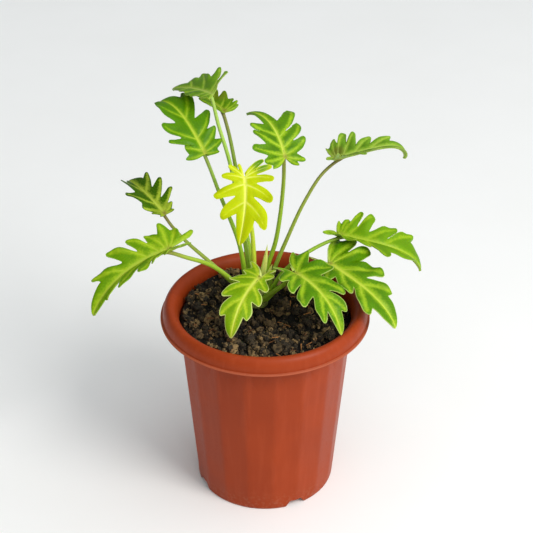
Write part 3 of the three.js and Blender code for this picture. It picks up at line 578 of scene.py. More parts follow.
# A row holds one leaf's sizes and angles. at is where the blade joins its stalk, and long the midrib's
# length. head, pitch and roll turn the midrib at the stalk and at the tip, fold raises the left and right
# halves at both, in degrees, and curl droops them, in degrees a millimetre. lobes lists the pairs of veins:
# where a pair leaves the midrib, then along, out and notch, left and right. start and by lay out the
# stalk, and thick is its thickness at the foot and at the neck.
LEAVES = {
    "top": usual_leaf(
        at=(-36, 36, 296), long=43, head=(129, 141), pitch=(-7, -25), roll=(-14, -10), fold=(6, 14, 6, 14),
        curl=(0.2, 0.2), tint="sheen", blush=0.1, faint=0.7,
        lobes=((0, -3.5, 6, 5, 2, 7.5, 7), (2, 4, 8, 7, 9, 23, 12.5), (7, 12, 10, 9, 13.5, 22, 13),
               (15, 22.5, 7, 5, 24.5, 15, 10.5), (25, 31, 5, 4, 31, 8, 5)),
        start=(-10, 25), by=((-14, 26, 182), (-24, 33, 242), (-32, 36, 272)), thick=(3.9, 2.4),
    ),
    "back": usual_leaf(
        at=(-28, 47, 277), long=44, head=(133, 135), pitch=(15, -17), roll=(-6, -6), fold=(36, 12, 30, 12),
        curl=(0.2, 0.2), tint="olive", blush=0.7, stain=(14, -8, 6), faint=0.6,
        lobes=((0, -1, 7, 6, -2, 11, 8), (1, 3, 9, 7, 1.5, 13, 9.5), (3, 9, 12, 7, 7, 13.5, 10),
               (8, 16, 12, 6, 14, 12, 6.5), (16, 25, 10, 5, 23, 11, 6), (27, 35, 7, 4, 34, 8, 4)),
        start=(-6, 26), by=((-12, 33, 178), (-21, 43, 237), (-26, 46, 264)), thick=(3.9, 2.4),
    ),
    "upper_left": usual_leaf(
        at=(-41, 18, 260), long=58, head=(129, 135), pitch=(42, -39), roll=(-8, 0), bend=2.9, tint="moss",
        blush=0.4, faint=0.6,
        lobes=((0, 0.5, 15.5, 12, -3, 10, 9.5), (2, 10.5, 11, 7, 4.5, 15.5, 11.5),
               (8, 16.5, 22, 11.5, 14, 15.5, 10), (17, 29, 20.5, 9, 26, 18.5, 6.5),
               (32, 47, 11, 9.5, 49.5, 15.5, 10)),
        start=(-13, 22), by=((-18, 20, 185), (-31, 19, 226), (-38, 18, 249)), thick=(4.1, 2.5),
    ),
    "upper_middle": usual_leaf(
        at=(14, 34, 248), long=53, head=(109, 143), pitch=(45, -29), roll=(6, 8), bend=1.8, swell=0.14,
        tint="bright", blush=0.6, faint=0.72,
        lobes=((0, -7.5, 11.5, 11, -7, 9, 8), (2, -1.5, 17, 13.5, -3.5, 15, 9),
               (6, 11.5, 23.5, 12.5, 10.5, 18.5, 9.5), (13, 24, 18.5, 10.5, 21.5, 20.5, 7.5),
               (22, 30, 18, 6, 33, 23, 6)),
        start=(-2, 25), by=((2, 25, 165), (8, 26, 187), (13, 31, 231)), thick=(3.9, 2.6),
    ),
    "upper_right": usual_leaf(
        at=(49, 24, 253), long=57, head=(2, 14), pitch=(14, -120), fold=(18, 32, 14, 16), curl=(0.2, 0),
        bend=5, swell=0.1, tint="sheen", blush=0.7, stain=(2, 5, 5), faint=0.6,
        lobes=((0, -6, 14, 12, -6, 8, 5), (1, 0.5, 19.5, 13.5, 2, 14, 8), (5, 9.5, 24.5, 13.5, 11, 17, 9),
               (11, 16.5, 19, 8, 20, 17, 8), (17, 27, 12.5, 6, 30, 15, 7), (27, 40, 8.5, 5.5, 42, 9, 5)),
        start=(1, 22), by=((8, 22, 168), (15, 23, 187), (27, 24, 217), (40, 24, 241)), thick=(3.6, 2.2),
    ),
    "left": usual_leaf(
        at=(-71, 28, 206), long=48, head=(138, 120), pitch=(29, -22), roll=(-12, -5), fold=(30, 10, 30, 10),
        curl=(0.2, 0.3), swell=0.06, tint="dark", blush=0.8, faint=0.8,
        lobes=((0, -1, 6, 5, -1.5, 7, 6.5), (1, 3, 12, 9, 4.5, 10.5, 7.5), (6, 10, 14.5, 12, 15.5, 17.5, 6.5),
               (15, 24.5, 17.5, 8.5, 26.5, 16, 7), (26, 42, 8, 4.5, 40.5, 13, 8)),
        start=(-14, 18), by=((-39, 16, 173), (-55, 20, 187), (-66, 26, 197)), thick=(3.6, 2.2),
    ),
    "lower_left": usual_leaf(
        at=(-65, -19, 206), long=72, head=(204, 224), pitch=(-10, -61), fold=(32, 32, 10, 26), curl=(0, 0.3),
        bend=1.8, swell=0.14, tint="fresh", blush=0.5, faint=0.55,
        lobes=((0, -14, 8, 6, -20.5, 8, 6), (1, -4, 15, 10, -9.5, 14.5, 14), (3, 8, 18, 10, 0, 19.5, 13.5),
               (7, 19, 19, 9, 10.5, 18, 10.5), (13, 30, 18, 8, 22, 20, 8.5), (22, 46, 9.5, 6, 36, 20.5, 7.5),
               (37, 57, 6, 5, 53.5, 13, 7.5)),
        start=(-13, 13), by=((-22, 7, 162), (-37, -1, 181), (-54, -14, 196)), thick=(4.2, 2.8),
    ),
    "young_gold": usual_leaf(
        at=(-14, 14, 243), long=48, head=(-81, -117), pitch=(-41, -67), fold=(8, 8, 8, 8), swell=0.17,
        tint="gold", blush=0, stain=(-8, 12, 6), lean=0.1, faint=0.4,
        lobes=((0, -11, 14.5, 7, -10.5, 3, 3), (0.5, -6.5, 20, 8.5, -9, 10.5, 7), (2, 3, 20, 8, -2, 16, 7.5),
               (7, 17.5, 18.5, 6, 15.5, 21.5, 7), (19, 34.5, 16.5, 8, 31.5, 15.5, 5.5)),
        start=(-8, 20), by=((-8, 20, 171), (-9, 20, 196), (-13, 19, 225)), thick=(4.2, 2.8),
    ),
    "front": usual_leaf(
        at=(-4, -4, 173), long=55, head=(-117, -114), pitch=(2, -74), fold=(-14, 10, -14, 10), swell=0.17,
        tint="lime", blush=0.3, faint=0.75,
        lobes=((0, -16, 5, 4, -13, 13.5, 10), (1, -8.5, 8, 5, -1, 13.5, 9.5), (6, 12.5, 11.5, 5.5, 13, 17, 9),
               (15, 26.5, 12.5, 6.5, 27.5, 15.5, 8.5), (28, 40, 8, 5, 41.5, 11, 7.5)),
        start=(-8, 10), by=((-8, 6, 158), (-6, 1, 167)), thick=(3.8, 2.6),
    ),
    "front_right": usual_leaf(
        at=(22, -6, 178), long=59, head=(-47, -53), pitch=(-2, -74), fold=(16, 10, 10, 10), swell=0.16,
        tint="grass", blush=0.4, faint=0.8,
        lobes=((0, -18, 14, 13, -15.5, 8.5, 6.5), (1, -9.5, 21, 13, 2.5, 17.5, 12),
               (5, 14.5, 21.5, 10, 16.5, 20.5, 8.5), (16, 34, 15, 6, 30.5, 22, 8.5),
               (30, 45, 8.5, 5.5, 46, 12, 5)),
        start=(-4, 10), by=((2, 7, 151), (10, 4, 159), (16, 1, 167)), thick=(4, 2.6),
    ),
    "lower_right": usual_leaf(
        at=(46, 12, 175), long=71, head=(-49, -32), pitch=(-6, -70), fold=(7, 10, 10, 10), bend=2.2,
        swell=0.13, tint="grass", blush=0.6, faint=0.65,
        lobes=((0, -19, 25.5, 24.5, -11, 10, 8), (1, -6, 31.5, 18, -2, 16, 9), (5, 9, 33, 17.5, 14, 17, 10),
               (17, 35, 21.5, 8, 33, 15, 7.5), (35, 49.5, 14, 9.5, 51, 17, 10.5)),
        start=(0, 13), by=((12, 10, 157), (28, 9, 168)), thick=(3.8, 2.6),
    ),
    "right": usual_leaf(
        at=(54, 38, 183), long=72, head=(-22, 19), pitch=(-4, -72), fold=(30, 26, 24, -12), curl=(0.3, 0),
        bend=2.2, tint="plain", blush=0.4, faint=0.85,
        lobes=((0, -4, 10, 9.5, -10, 10, 5), (2, 2, 15, 12.5, 2, 12, 8), (6, 11, 23, 10, 13, 10, 7),
               (13, 22, 23, 8, 24, 9, 7), (25, 41.5, 17, 6, 35, 19.5, 9.5), (39, 56.5, 18, 12, 60, 4, 3)),
        start=(2, 17), by=((11, 16, 162), (25, 21, 174), (43, 31, 180)), thick=(3.8, 2.4),
    ),
}


def between(pair, share):
    """The value at a share of the way from the first of a pair to the second."""
    return pair[0] + (pair[1] - pair[0]) * share


def blade_sheet(leaf):
    """A function that carries a blade's points (along, out), lifted off it, to their places in mm."""
    head = np.radians(between(leaf["head"], STATIONS))
    pitch = np.radians(between(leaf["pitch"], STATIONS ** leaf["bend"]))
    roll = np.radians(between(leaf["roll"], STATIONS))[:, None]
    ahead = np.stack([np.cos(pitch) * np.cos(head), np.cos(pitch) * np.sin(head), np.sin(pitch)], 1)
    level = np.stack([-np.sin(head), np.cos(head), 0 * head], 1)
    outward = level * np.cos(roll) + np.cross(ahead, level) * np.sin(roll)
    upward = np.cross(ahead, outward)
    steps = (ahead[1:] + ahead[:-1]) / 2 * leaf["long"] / (len(STATIONS) - 1)
    middle = np.array(leaf["at"]) + np.vstack([np.zeros(3), np.cumsum(steps, 0)])

    def carry(along, out, lift):
        share = np.clip(along / leaf["long"], 0, 1)
        is_left = out >= 0
        left, right = between(leaf["fold"][::2], share), between(leaf["fold"][1::2], share)
        fold = np.radians(np.where(is_left, left, right))
        curl = np.radians(np.where(is_left, *leaf["curl"])) + 1e-6
        reach = np.abs(out)
        aside = (np.sin(fold) - np.sin(fold - curl * reach)) / curl * np.sign(out)
        wave = np.sin(2 * math.pi * along / RUFFLE_LENGTH + ~is_left)
        wave *= RUFFLE * (np.minimum(reach, RUFFLE_REACH) / 20) ** 2
        rise = (np.cos(fold - curl * reach) - np.cos(fold)) / curl + wave + lift

        def at_share(table):
            return np.stack([np.interp(share, STATIONS, column) for column in table.T], -1)

        beyond = (along - leaf["long"] * share)[..., None]
        spot = at_share(middle) + at_share(ahead) * beyond
        return spot + at_share(outward) * aside[..., None] + at_share(upward) * rise[..., None]

    return carry


# The stalks
# Round and fleshy, with a shallow channel on the side that faces the crown's axis. A stalk clasps the
# crown with a swollen foot, thins on its way up and runs on under the blade as the midrib's root.
STALK_SIDES = 20
STALK_STEPS = 70
STALK_FOOT_HEIGHT = 144.0
STALK_SEAT = 9.5
FOOT_SWELL = 0.9
FOOT_SWELL_LENGTH = 7
NECK_SWELL = 0.18
NECK_SWELL_LENGTH = 3
CHANNEL_DEPTH = 0.2
CHANNEL_WIDTH = 0.45
UNDER_BLADE = ((0.0, 1.7), (3.0, 1.4), (7.0, 0.95), (12.0, 0.6))


def rounded(start, end, leave, arrive, steps):
    """A cubic from one point to another with the given tangents, without its start."""
    s = (np.arange(1, steps + 1) / steps)[:, None]
    return (start * (2 * s**3 - 3 * s**2 + 1) + leave * (s**3 - 2 * s**2 + s)
            + end * (3 * s**2 - 2 * s**3) + arrive * (s**3 - s**2))


def smooth_path(points, count):
    """Evenly spaced places on a centripetal curve through points."""
    knots = np.vstack([2 * points[0] - points[1], points, 2 * points[-1] - points[-2]])
    gaps = np.sqrt(np.linalg.norm(np.diff(knots, axis=0), axis=1))
    fine = [points[:1]]
    for k in range(1, len(knots) - 2):
        (p0, p1, p2, p3), (g0, g1, g2) = knots[k - 1:k + 3], gaps[k - 1:k + 2]
        leave = ((p1 - p0) / g0 - (p2 - p0) / (g0 + g1) + (p2 - p1) / g1) * g1
        arrive = ((p2 - p1) / g1 - (p3 - p1) / (g1 + g2) + (p3 - p2) / g2) * g1
        fine.append(rounded(p1, p2, leave, arrive, 39))
    fine = np.vstack(fine)
    run = np.concatenate([[0], np.cumsum(np.linalg.norm(np.diff(fine, axis=0), axis=1))])
    even = np.linspace(0, run[-1], count)
    return np.stack([np.interp(even, run, column) for column in fine.T], 1), even


def make_stalk(name, leaf):
    """One stalk as a mesh of rings, with its length and its turn kept for the finish."""
    carry = blade_sheet(leaf)
    marks = np.array([row[0] for row in UNDER_BLADE])
    under = carry(marks, np.zeros(4), -np.array([row[1] for row in UNDER_BLADE]))
    points = np.vstack([[*leaf["start"], STALK_FOOT_HEIGHT], leaf["by"], under[1:]])
    middle, run = smooth_path(points, STALK_STEPS)
    long = run[-1]
    seat = long - STALK_SEAT
    radius = between(leaf["thick"], np.clip(run / seat, 0, 1) ** 0.8) / 2
    radius += (FOOT_SWELL * np.exp(-((run / FOOT_SWELL_LENGTH) ** 2))
               + NECK_SWELL * np.exp(-(((run - seat) / NECK_SWELL_LENGTH) ** 2)))
    radius *= 1 - 0.72 * np.clip((run - seat) / (long - seat), 0, 1) ** 1.2
    ahead = np.gradient(middle, axis=0)
    ahead /= np.linalg.norm(ahead, axis=1)[:, None]
    inward = np.array([*CROWN_PLACE, 0]) + [0, 0, 400] - middle
    aside = np.cross(ahead, inward)
    aside /= np.linalg.norm(aside, axis=1)[:, None]
    facing = np.cross(aside, ahead)
    turn = 2 * math.pi * np.arange(STALK_SIDES) / STALK_SIDES
    channel = 1 - CHANNEL_DEPTH * np.exp(-(((turn - math.pi / 2) / CHANNEL_WIDTH) ** 2))
    rings = middle[:, None] + radius[:, None, None] * channel[None, :, None] * (
        aside[:, None] * np.cos(turn)[None, :, None] + facing[:, None] * np.sin(turn)[None, :, None])
    corner = np.arange(STALK_STEPS * STALK_SIDES).reshape(STALK_STEPS, STALK_SIDES)
    beside = np.roll(corner, -1, axis=1)
    quads = np.stack([corner[:-1], beside[:-1], beside[1:], corner[1:]], -1).reshape(-1, 4).tolist()
    quads += [corner[0, ::-1].tolist(), corner[-1].tolist()]
    stalk = mesh_piece(name, rings.reshape(-1, 3), quads)
    keep(stalk.data, "stalk_share", np.repeat(run / seat, STALK_SIDES))
    around = np.stack([np.tile(np.cos(turn), STALK_STEPS), np.tile(np.sin(turn), STALK_STEPS),
                       np.repeat(run, STALK_SIDES) / 60], 1)
    keep(stalk.data, "stalk_skin", around, "FLOAT_VECTOR")
    bpy.ops.object.mode_set(mode="EDIT")
    bpy.ops.mesh.select_all(action="SELECT")
    bpy.ops.mesh.normals_make_consistent(inside=False)
    bpy.ops.object.mode_set(mode="OBJECT")
    bpy.ops.object.shade_smooth()
    return stalk


def stalk_finish(name, foot, skin, neck, blush):
    """The stalk's skin: its colour at the foot and above, with a brown blush below the blade."""
    finish, tree, shader = new_finish(name, 0.4, 0.18, 0.08)
    share = kept(tree, "stalk_share")
    around = kept(tree, "stalk_skin", "Vector")
    marks = mottle(around, 3.0, 24.0)
    streaks = grain(stretched(around, (9, 9, 2.5)), 1.0, 3.0)
    base = mixed(eased(share, 0.05, 0.4), foot, skin)
    base = mixed(eased(share, 0.5, 1.0), base, neck)
    base = layered(
        base,
        (share, 0.8, 1.0, blush, (100, 78, 48)),
        (streaks, 0.42, 0.7, 0.35, (190, 206, 104)),
        (marks["Speck"], 0.62, 0.75, 0.3, (80, 100, 26)),
    )
    lay_on(shader, base, streaks, 0.25, 0.0002)
    return finish


USUAL_STALK = ((140, 182, 26), (136, 174, 28), (130, 164, 42))
STALK_COLOURS = {
    "top": ((162, 194, 60), (148, 188, 62), (158, 192, 86)),
    "young_gold": ((188, 208, 60), (194, 212, 50), (206, 216, 60)),
    "upper_left": ((146, 190, 30), (138, 180, 38), (130, 164, 66)),
    "back": ((152, 190, 36), (138, 172, 44), (112, 132, 56)),
    "upper_right": ((142, 178, 44), (142, 160, 56), (126, 128, 54)),
    "upper_middle": ((154, 192, 30), (140, 174, 36), (128, 144, 48)),
    "left": ((150, 190, 40), (150, 172, 60), (128, 130, 60)),
    "lower_left": ((140, 190, 30), (146, 180, 40), (150, 168, 56)),
}
for name, leaf in LEAVES.items():
    foot, skin, neck = [colour(*shade) for shade in STALK_COLOURS.get(name, USUAL_STALK)]
    stalk = make_stalk("leafstalk_" + name, leaf)
    stalk.data.materials.append(stalk_finish("stalk_skin_" + name, foot, skin, neck, leaf["blush"]))
    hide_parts("stalk_" + name)
    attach(stalk, "root")


# The blades
# A blade is a leathery sheet 0.6 mm thick, with a thicker midrib below and sunken pale veins above, one to
# each lobe. Between its veins the sheet swells a little, and its pale edge turns down.
EDGE_THICKNESS = 0.6
RIB_THICKNESS = 1.5
RIB_REACH = 0.06
APEX_ROOT_SHARE = 0.9
OUTER_STEPS = 12
INNER_STEPS = 8
APEX_STEPS = 18
TIP_ROUND = 0.7
NOTCH_ROUND = 0.12
NOTCH_SHARE = 0.27
APEX_NOTCH_SHARE = 0.12
SHOULDER_SHARE = 0.55
INNER_SWELL = 0.03
VEIN_ARCH = 0.2
DRAWN_ARCH = 0.12
RIB_GROOVE = 0.25
VEIN_SUNK = 0.4
VEIN_WIDTH = 0.8
PUFF = 0.55
PUFF_REACH = 2.6
EDGE_TURN = 0.3
EDGE_TURN_REACH = 0.7
LOBE_FLICK = 1.5
VEIN_REACH = 0.9
rows = np.linspace(0, 1, 22)
BLADE_ROWS = 0.5 * rows + 0.25 * (1 - np.cos(math.pi * rows))


def flank(start, end, leave, arrive, swell, steps):
    """One side of a lobe, from a point to another through a shoulder that swells out by a share."""
    chord = end - start
    shoulder = start + SHOULDER_SHARE * chord + swell * np.array([-chord[1], chord[0]])
    first = rounded(start, shoulder, leave, SHOULDER_SHARE * chord, (steps + 1) // 2)
    return np.vstack([first, rounded(shoulder, end, (1 - SHOULDER_SHARE) * chord, arrive, steps // 2)])


def half_veins(leaf, side):
    """The veins of one half: a root on the midrib and a tip, with the notch that follows the tip."""
    first = 1 if side > 0 else 4
    veins = [(row[0], np.array(row[first:first + 2], float), row[first + 2]) for row in leaf["lobes"]]
    return [*veins, (APEX_ROOT_SHARE * leaf["long"], np.array([leaf["long"], 0.0]), 0)]


def vein_path(vein, lean=0.0, arch=VEIN_ARCH, steps=9):
    """A vein's course from its root, set back by a share of its reach, towards its tip, arched forward."""
    root, tip, _ = vein
    start = np.array([max(root - lean * tip[1], 0.3 * root), 0.0])
    way = tip - start
    bend = start + 0.5 * way + arch * np.array([-way[1], way[0]])
    share = (np.arange(steps) / (steps - 1) * VEIN_REACH)[:, None]
    return start * (1 - share) ** 2 + bend * 2 * share * (1 - share) + tip * share**2


def in_order(feet, points, crest):
    """Pushes on edge points that would lie behind the row before, from both notches to the lobe's tip."""
    for order, way in ((range(1, crest + 1), 1), (range(len(points) - 2, crest, -1), -1)):
        for k in order:
            ray = points[k - way] - np.array([feet[k - way], 0])
            ahead = way * np.array([ray[1], -ray[0]]) / np.hypot(*ray)
            points[k] += max(0.02 - (points[k] - points[k - way]) @ ahead, 0) * ahead


def half_edge(leaf, side):
    """One half's edge by lobes: where each point's row starts on the midrib, and the point (along, out)."""
    veins = half_veins(leaf, side)
    notches = [(0.0, np.array([-1.0, 0.0]), np.array([0.0, 1.0]))]
    for (low_root, low_tip, notch), (high_root, high_tip, _) in zip(veins, veins[1:]):
        share = APEX_NOTCH_SHARE if high_tip[1] == 0 else NOTCH_SHARE
        root = between((low_root, high_root), share)
        tip = between((low_tip, high_tip), share)
        slant = np.array([tip[1], root - tip[0]])
        spot = np.array([root + notch / tip[1] * (tip[0] - root), notch])
        notches.append((root, spot, slant / np.hypot(*slant)))
    lobes = []
    for vein, low, high in zip(veins, notches, notches[1:]):
        root, tip, _ = vein
        course = vein_path(vein)
        axis = tip - course[-3]
        across = np.array([axis[1], -axis[0]]) / np.hypot(*axis)
        rise, fall = np.hypot(*(tip - low[1])), np.hypot(*(high[1] - tip))
        curl = min(rise, fall, 2 * np.hypot(*(high[1] - low[1])))
        turn = across * TIP_ROUND * curl
        up = flank(low[1], tip, low[2] * NOTCH_ROUND * rise, turn, leaf["swell"], OUTER_STEPS)
        down = flank(tip, high[1], turn, high[2] * NOTCH_ROUND * fall, INNER_SWELL, INNER_STEPS)
        points = np.vstack([low[1], up, down])
        points[1:-1, 1] = np.maximum(points[1:-1, 1], 0.04 * np.abs(points[1:-1, 0]))
        feet = np.interp(np.arange(len(points)), [0, OUTER_STEPS, len(points) - 1], [low[0], root, high[0]])
        in_order(feet, points, OUTER_STEPS)
        lobes.append((feet, points))
    last_root, last_notch, _ = notches[-1]
    share = np.arange(APEX_STEPS + 1) / APEX_STEPS
    taper = last_notch[1] * (1 - share) ** 0.75 * (1 + 0.5 * share)
    points = np.stack([between((last_notch[0], leaf["long"]), share), taper], 1)
    lobes.append((between((last_root, APEX_ROOT_SHARE * leaf["long"]), share), points))
    return veins, lobes


def gap_to(points, path):
    """The distance from points to a path, and the share of its spans that lies before the nearest place."""
    nearest = np.full(len(points), 1e9)
    along = np.zeros(len(points))
    for k, (start, way) in enumerate(zip(path, np.diff(path, axis=0))):
        share = np.clip(((points - start) @ way) / max(way @ way, 1e-9), 0, 1)
        gap = np.linalg.norm(points - start - share[:, None] * way, axis=1)
        along = np.where(gap < nearest, (k + share) / (len(path) - 1), along)
        nearest = np.minimum(nearest, gap)
    return nearest, along


def make_blade(name, leaf, draw):
    """One blade as a closed sheet, with the distances to its veins and edge kept for the finish."""
    carry = blade_sheet(leaf)
    size = leaf["long"] / 60
    parts = []
    total = 0
    for side in (1, -1):
        veins, lobes = half_edge(leaf, side)
        outline = np.vstack([points for _, points in lobes])
        for (feet, points), (root, tip, _) in zip(lobes, veins):
            stem = np.stack([feet, 0 * feet], 1)
            net = stem[:, None] + BLADE_ROWS[None, :, None] * (points - stem)[:, None]
            place = net.reshape(-1, 2)
            across = np.linspace(0, 1, len(points))[:, None]
            outer = np.maximum(BLADE_ROWS - 0.4, 0)[None] / 0.6
            flick, twist = LOBE_FLICK * (draw.random(2) * 2 - 1)
            wave = flick * np.sin(math.pi * across) ** 2 + twist * np.sin(2 * math.pi * across)
            lift = outer**2 * wave * (0 if tip[1] == 0 else size)
            gaps, ratios, halos = [], [], []
            for vein in veins[:-1]:
                gap, share = gap_to(place, vein_path(vein, leaf["lean"], DRAWN_ARCH))
                gaps.append(gap)
                ratios.append(gap / (size * (1.35 - 0.6 * share)) + leaf["faint"] + 0.55 * share)
                halos.append(gap * (1.3 + 2.3 * share))
            share = np.clip(place[:, 0] / leaf["long"], 0, 1)
            gaps.append(np.abs(place[:, 1]))
            ratios.append(np.abs(place[:, 1]) / (size * (1.7 - 1.0 * share)) + 0.35 * share)
            halos.append(np.abs(place[:, 1]) * (1 + 0.8 * share))
            edge, _ = gap_to(place, outline)
            way = tip - [root, 0]
            way /= np.hypot(*way)
            local = place - [root, 0]
            columns, depth = net.shape[:2]
            corner = np.arange(columns * depth).reshape(columns, depth) + total
            quad = [corner[:-1, :-1], corner[1:, :-1], corner[1:, 1:], corner[:-1, 1:]][::side]
            total += columns * depth
            parts.append({
                "place": place * [1, side],
                "lift": lift.ravel(),
                "vein": np.min(ratios, axis=0),
                "far": np.min(gaps, axis=0),
                "halo": np.min(halos, axis=0) / size,
                "edge": edge,
                "lobe": np.stack([local @ way, local @ [-way[1], way[0]], 0 * edge], 1),
                "faces": np.stack([q.ravel() for q in quad], 1),
            })
    joined = {key: np.concatenate([part[key] for part in parts]) for key in parts[0]}
    vein, far, edge = joined["vein"], joined["far"], joined["edge"]
    lift = joined["lift"] + EDGE_THICKNESS / 2
    sunk = np.exp(-((vein / VEIN_WIDTH) ** 2))
    lift += PUFF * size * (1 - np.exp(-((far / PUFF_REACH) ** 2))) * np.clip(edge / 3, 0, 1)
    lift -= VEIN_SUNK * size * sunk + EDGE_TURN * np.exp(-edge / EDGE_TURN_REACH)
    along, out = joined["place"].T
    blade = mesh_piece(name, carry(along, out, lift), joined["faces"].tolist())
    mesh = blade.data
    for key in ("vein", "halo", "edge"):
        keep(mesh, "blade_" + key, joined[key])
    keep(mesh, "blade_knot", np.exp(-((along - 0.5) ** 2 + out**2) / 4))
    stain_along, stain_out, stain_reach = leaf["stain"]
    stain = np.exp(-((np.hypot(along - stain_along, out - stain_out) / stain_reach) ** 4))
    keep(mesh, "blade_stain", stain)
    corners = np.empty(len(mesh.loops), int)
    mesh.loops.foreach_get("vertex_index", corners)
    keep(mesh, "blade_lobe", joined["lobe"][corners], "FLOAT_VECTOR", "CORNER")
    group = blade.vertex_groups.new(name="thickness")
    rib = np.exp(-((out / leaf["long"] / RIB_REACH) ** 2))
    thick = EDGE_THICKNESS + (RIB_THICKNESS - EDGE_THICKNESS) * rib
    thick += RIB_GROOVE * sunk
    for index, weight in enumerate(thick / (RIB_THICKNESS + RIB_GROOVE)):
        group.add([index], weight, "REPLACE")
    bpy.ops.object.mode_set(mode="EDIT")
    bpy.ops.mesh.select_all(action="SELECT")
    bpy.ops.mesh.remove_doubles(threshold=0.02 * MM)
    bpy.ops.object.mode_set(mode="OBJECT")
    upper = len(mesh.polygons)
    solid = blade.modifiers.new("thickness", "SOLIDIFY")
    solid.thickness = (RIB_THICKNESS + RIB_GROOVE) * MM
    solid.offset = -1
    solid.vertex_group = group.name
    bpy.ops.object.modifier_apply(modifier=solid.name)
    under = np.zeros(len(mesh.polygons))
    under[upper:2 * upper] = 1
    keep(mesh, "blade_under", under, domain="FACE")
    bpy.ops.object.shade_smooth_by_angle(angle=math.radians(60))
    return blade


# The blade's skin: green that deepens away from the veins, with pale veins and a pale edge
BLADE_SHADES = ("Deep", "Light", "Vein", "Edge", "Under", "Stain")
BLADE_MEASURES = ("Glow", "Margin", "Web", "Knot")
blade_sockets = {label: ("Color", (0, 0, 0, 1)) for label in BLADE_SHADES}
blade_sockets |= {label: ("Float", 1.0) for label in BLADE_MEASURES}
blade_outcomes = {"Color": "Color", "Roughness": "Float", "Height": "Float"}
tree, given, taken = new_group("blade_marks", blade_sockets, blade_outcomes)
place = put("TexCoord", {}, tree).outputs["Object"]
marks = mottle(place, 110.0, 700.0)
lobe = put("SeparateXYZ", {0: kept(tree, "blade_lobe", "Vector")}).outputs
slanted = sum_of("MULTIPLY_ADD", sum_of("ABSOLUTE", lobe[1]), -0.8, lobe[0])
branch = sum_of("PINGPONG", sum_of("ADD", slanted, marks["Patch"]), 1.2)
branch = eased(branch, 0.0, 0.3, 0.22, 0.0)
vein = eased(kept(tree, "blade_vein"), 0.2, 1.5, 0.95, 0.0)
glow = sum_of("DIVIDE", kept(tree, "blade_halo"), given["Glow"])
glow = sum_of("ADD", glow, eased(marks["Patch"], 0.3, 0.7, -0.34, 0.3))
glow = sum_of("ADD", glow, eased(marks["Speck"], 0.35, 0.65, -0.2, 0.2))
base = mixed(eased(glow, 0.0, 1.3), given["Light"], given["Deep"])
base = mixed(branch, base, given["Light"])
# Painted shade: a darker copy of the deep green, laid in soft random patches for the shade of the blade's
# undulations, and between the veins below
shade = mixed(1.0, given["Deep"], (0.66, 0.72, 0.5, 1), "MULTIPLY")
base = mixed(eased(marks["Patch"], 0.5, 0.3, 0.0, 0.4), base, shade)
edge = kept(tree, "blade_edge")
# Far from the edge and from the veins the blade darkens: partly its own darker web, partly painted shade in
# the hollows between its swellings
dark_web_and_shade = sum_of("MULTIPLY", eased(edge, 1.5, 6.0), given["Web"])
dark_web_and_shade = sum_of("MULTIPLY", dark_web_and_shade, eased(kept(tree, "blade_halo"), 2.0, 6.0))
base = mixed(dark_web_and_shade, base, shade)
base = mixed(kept(tree, "blade_stain"), base, given["Stain"])
under_share = kept(tree, "blade_under")
base = mixed(sum_of("MULTIPLY", under_share, 0.8), base, given["Under"])
base = mixed(vein, base, given["Vein"])
margin = sum_of("DIVIDE", edge, given["Margin"])
margin = eased(margin, 0.2, 1.0, 0.7, 0.0)
base = mixed(margin, base, given["Edge"])
knot = sum_of("MULTIPLY", kept(tree, "blade_knot"), given["Knot"])
base = mixed(knot, base, colour(104, 84, 44))
tree.links.new(base, taken["Color"])
gloss = eased(marks["Speck"], 0.3, 0.7, 0.3, 0.4)
gloss = sum_of("ADD", gloss, sum_of("MULTIPLY", under_share, 0.25))
tree.links.new(gloss, taken["Roughness"])
relief = sum_of("MULTIPLY_ADD", branch, -1.5, sum_of("MULTIPLY", marks["Tooth"], 0.5))
tree.links.new(relief, taken["Height"])

# Each tint: the BLADE_SHADES in order, then how far the light green reaches from a vein, the pale edge's
# width, the share of dark between the veins (partly painted shade), the gloss and the slot
TINTS = {
    "lime": ((116, 154, 8), (168, 190, 34), (202, 211, 84), (220, 226, 136), (158, 184, 80), (0, 0, 0),
             4.2, 0.8, 0.3, 0.1, "leaf_green"),
    "grass": ((80, 128, 1), (144, 176, 28), (186, 202, 68), (188, 204, 108), (134, 168, 66), (0, 0, 0),
              5.2, 0.6, 0.4, 0.1, "leaf_green"),
    "fresh": ((96, 140, 2), (148, 178, 24), (172, 192, 56), (146, 176, 54), (140, 172, 70), (0, 0, 0),
              5.4, 0.4, 0.3, 0.09, "leaf_green"),
    "plain": ((102, 146, 3), (140, 172, 22), (162, 186, 48), (154, 182, 60), (140, 172, 70), (0, 0, 0),
              3.2, 0.4, 0.4, 0.1, "leaf_green"),
    "moss": ((76, 124, 1), (120, 158, 12), (172, 190, 56), (98, 142, 14), (128, 160, 64), (0, 0, 0),
             3.4, 0.4, 0.3, 0.09, "leaf_green"),
    "bright": ((84, 130, 3), (142, 176, 26), (184, 200, 72), (108, 150, 22), (128, 160, 64), (0, 0, 0),
               4.8, 0.4, 0.9, 0.09, "leaf_green"),
    "olive": ((84, 126, 4), (130, 160, 26), (160, 178, 60), (130, 156, 40), (128, 160, 64), (98, 116, 16),
              3.0, 0.4, 0.4, 0.07, "leaf_green"),
    # The sheen tint is paler: a painted whitish sheen, for light glancing off blades seen nearly edge-on
    "sheen": ((98, 142, 12), (144, 176, 46), (168, 190, 84), (150, 172, 70), (150, 178, 92), (98, 108, 20),
              4.2, 0.4, 0.8, 0.22, "leaf_green"),
    "dark": ((60, 100, 1), (160, 180, 50), (178, 192, 72), (72, 108, 6), (120, 150, 78), (0, 0, 0),
             5.2, 0.4, 0.4, 0.05, "leaf_dark"),
    "gold": ((178, 193, 0), (190, 203, 8), (224, 227, 106), (200, 210, 40), (190, 202, 40), (84, 132, 18),
             4.0, 0.5, 0.0, 0.09, "leaf_gold"),
}


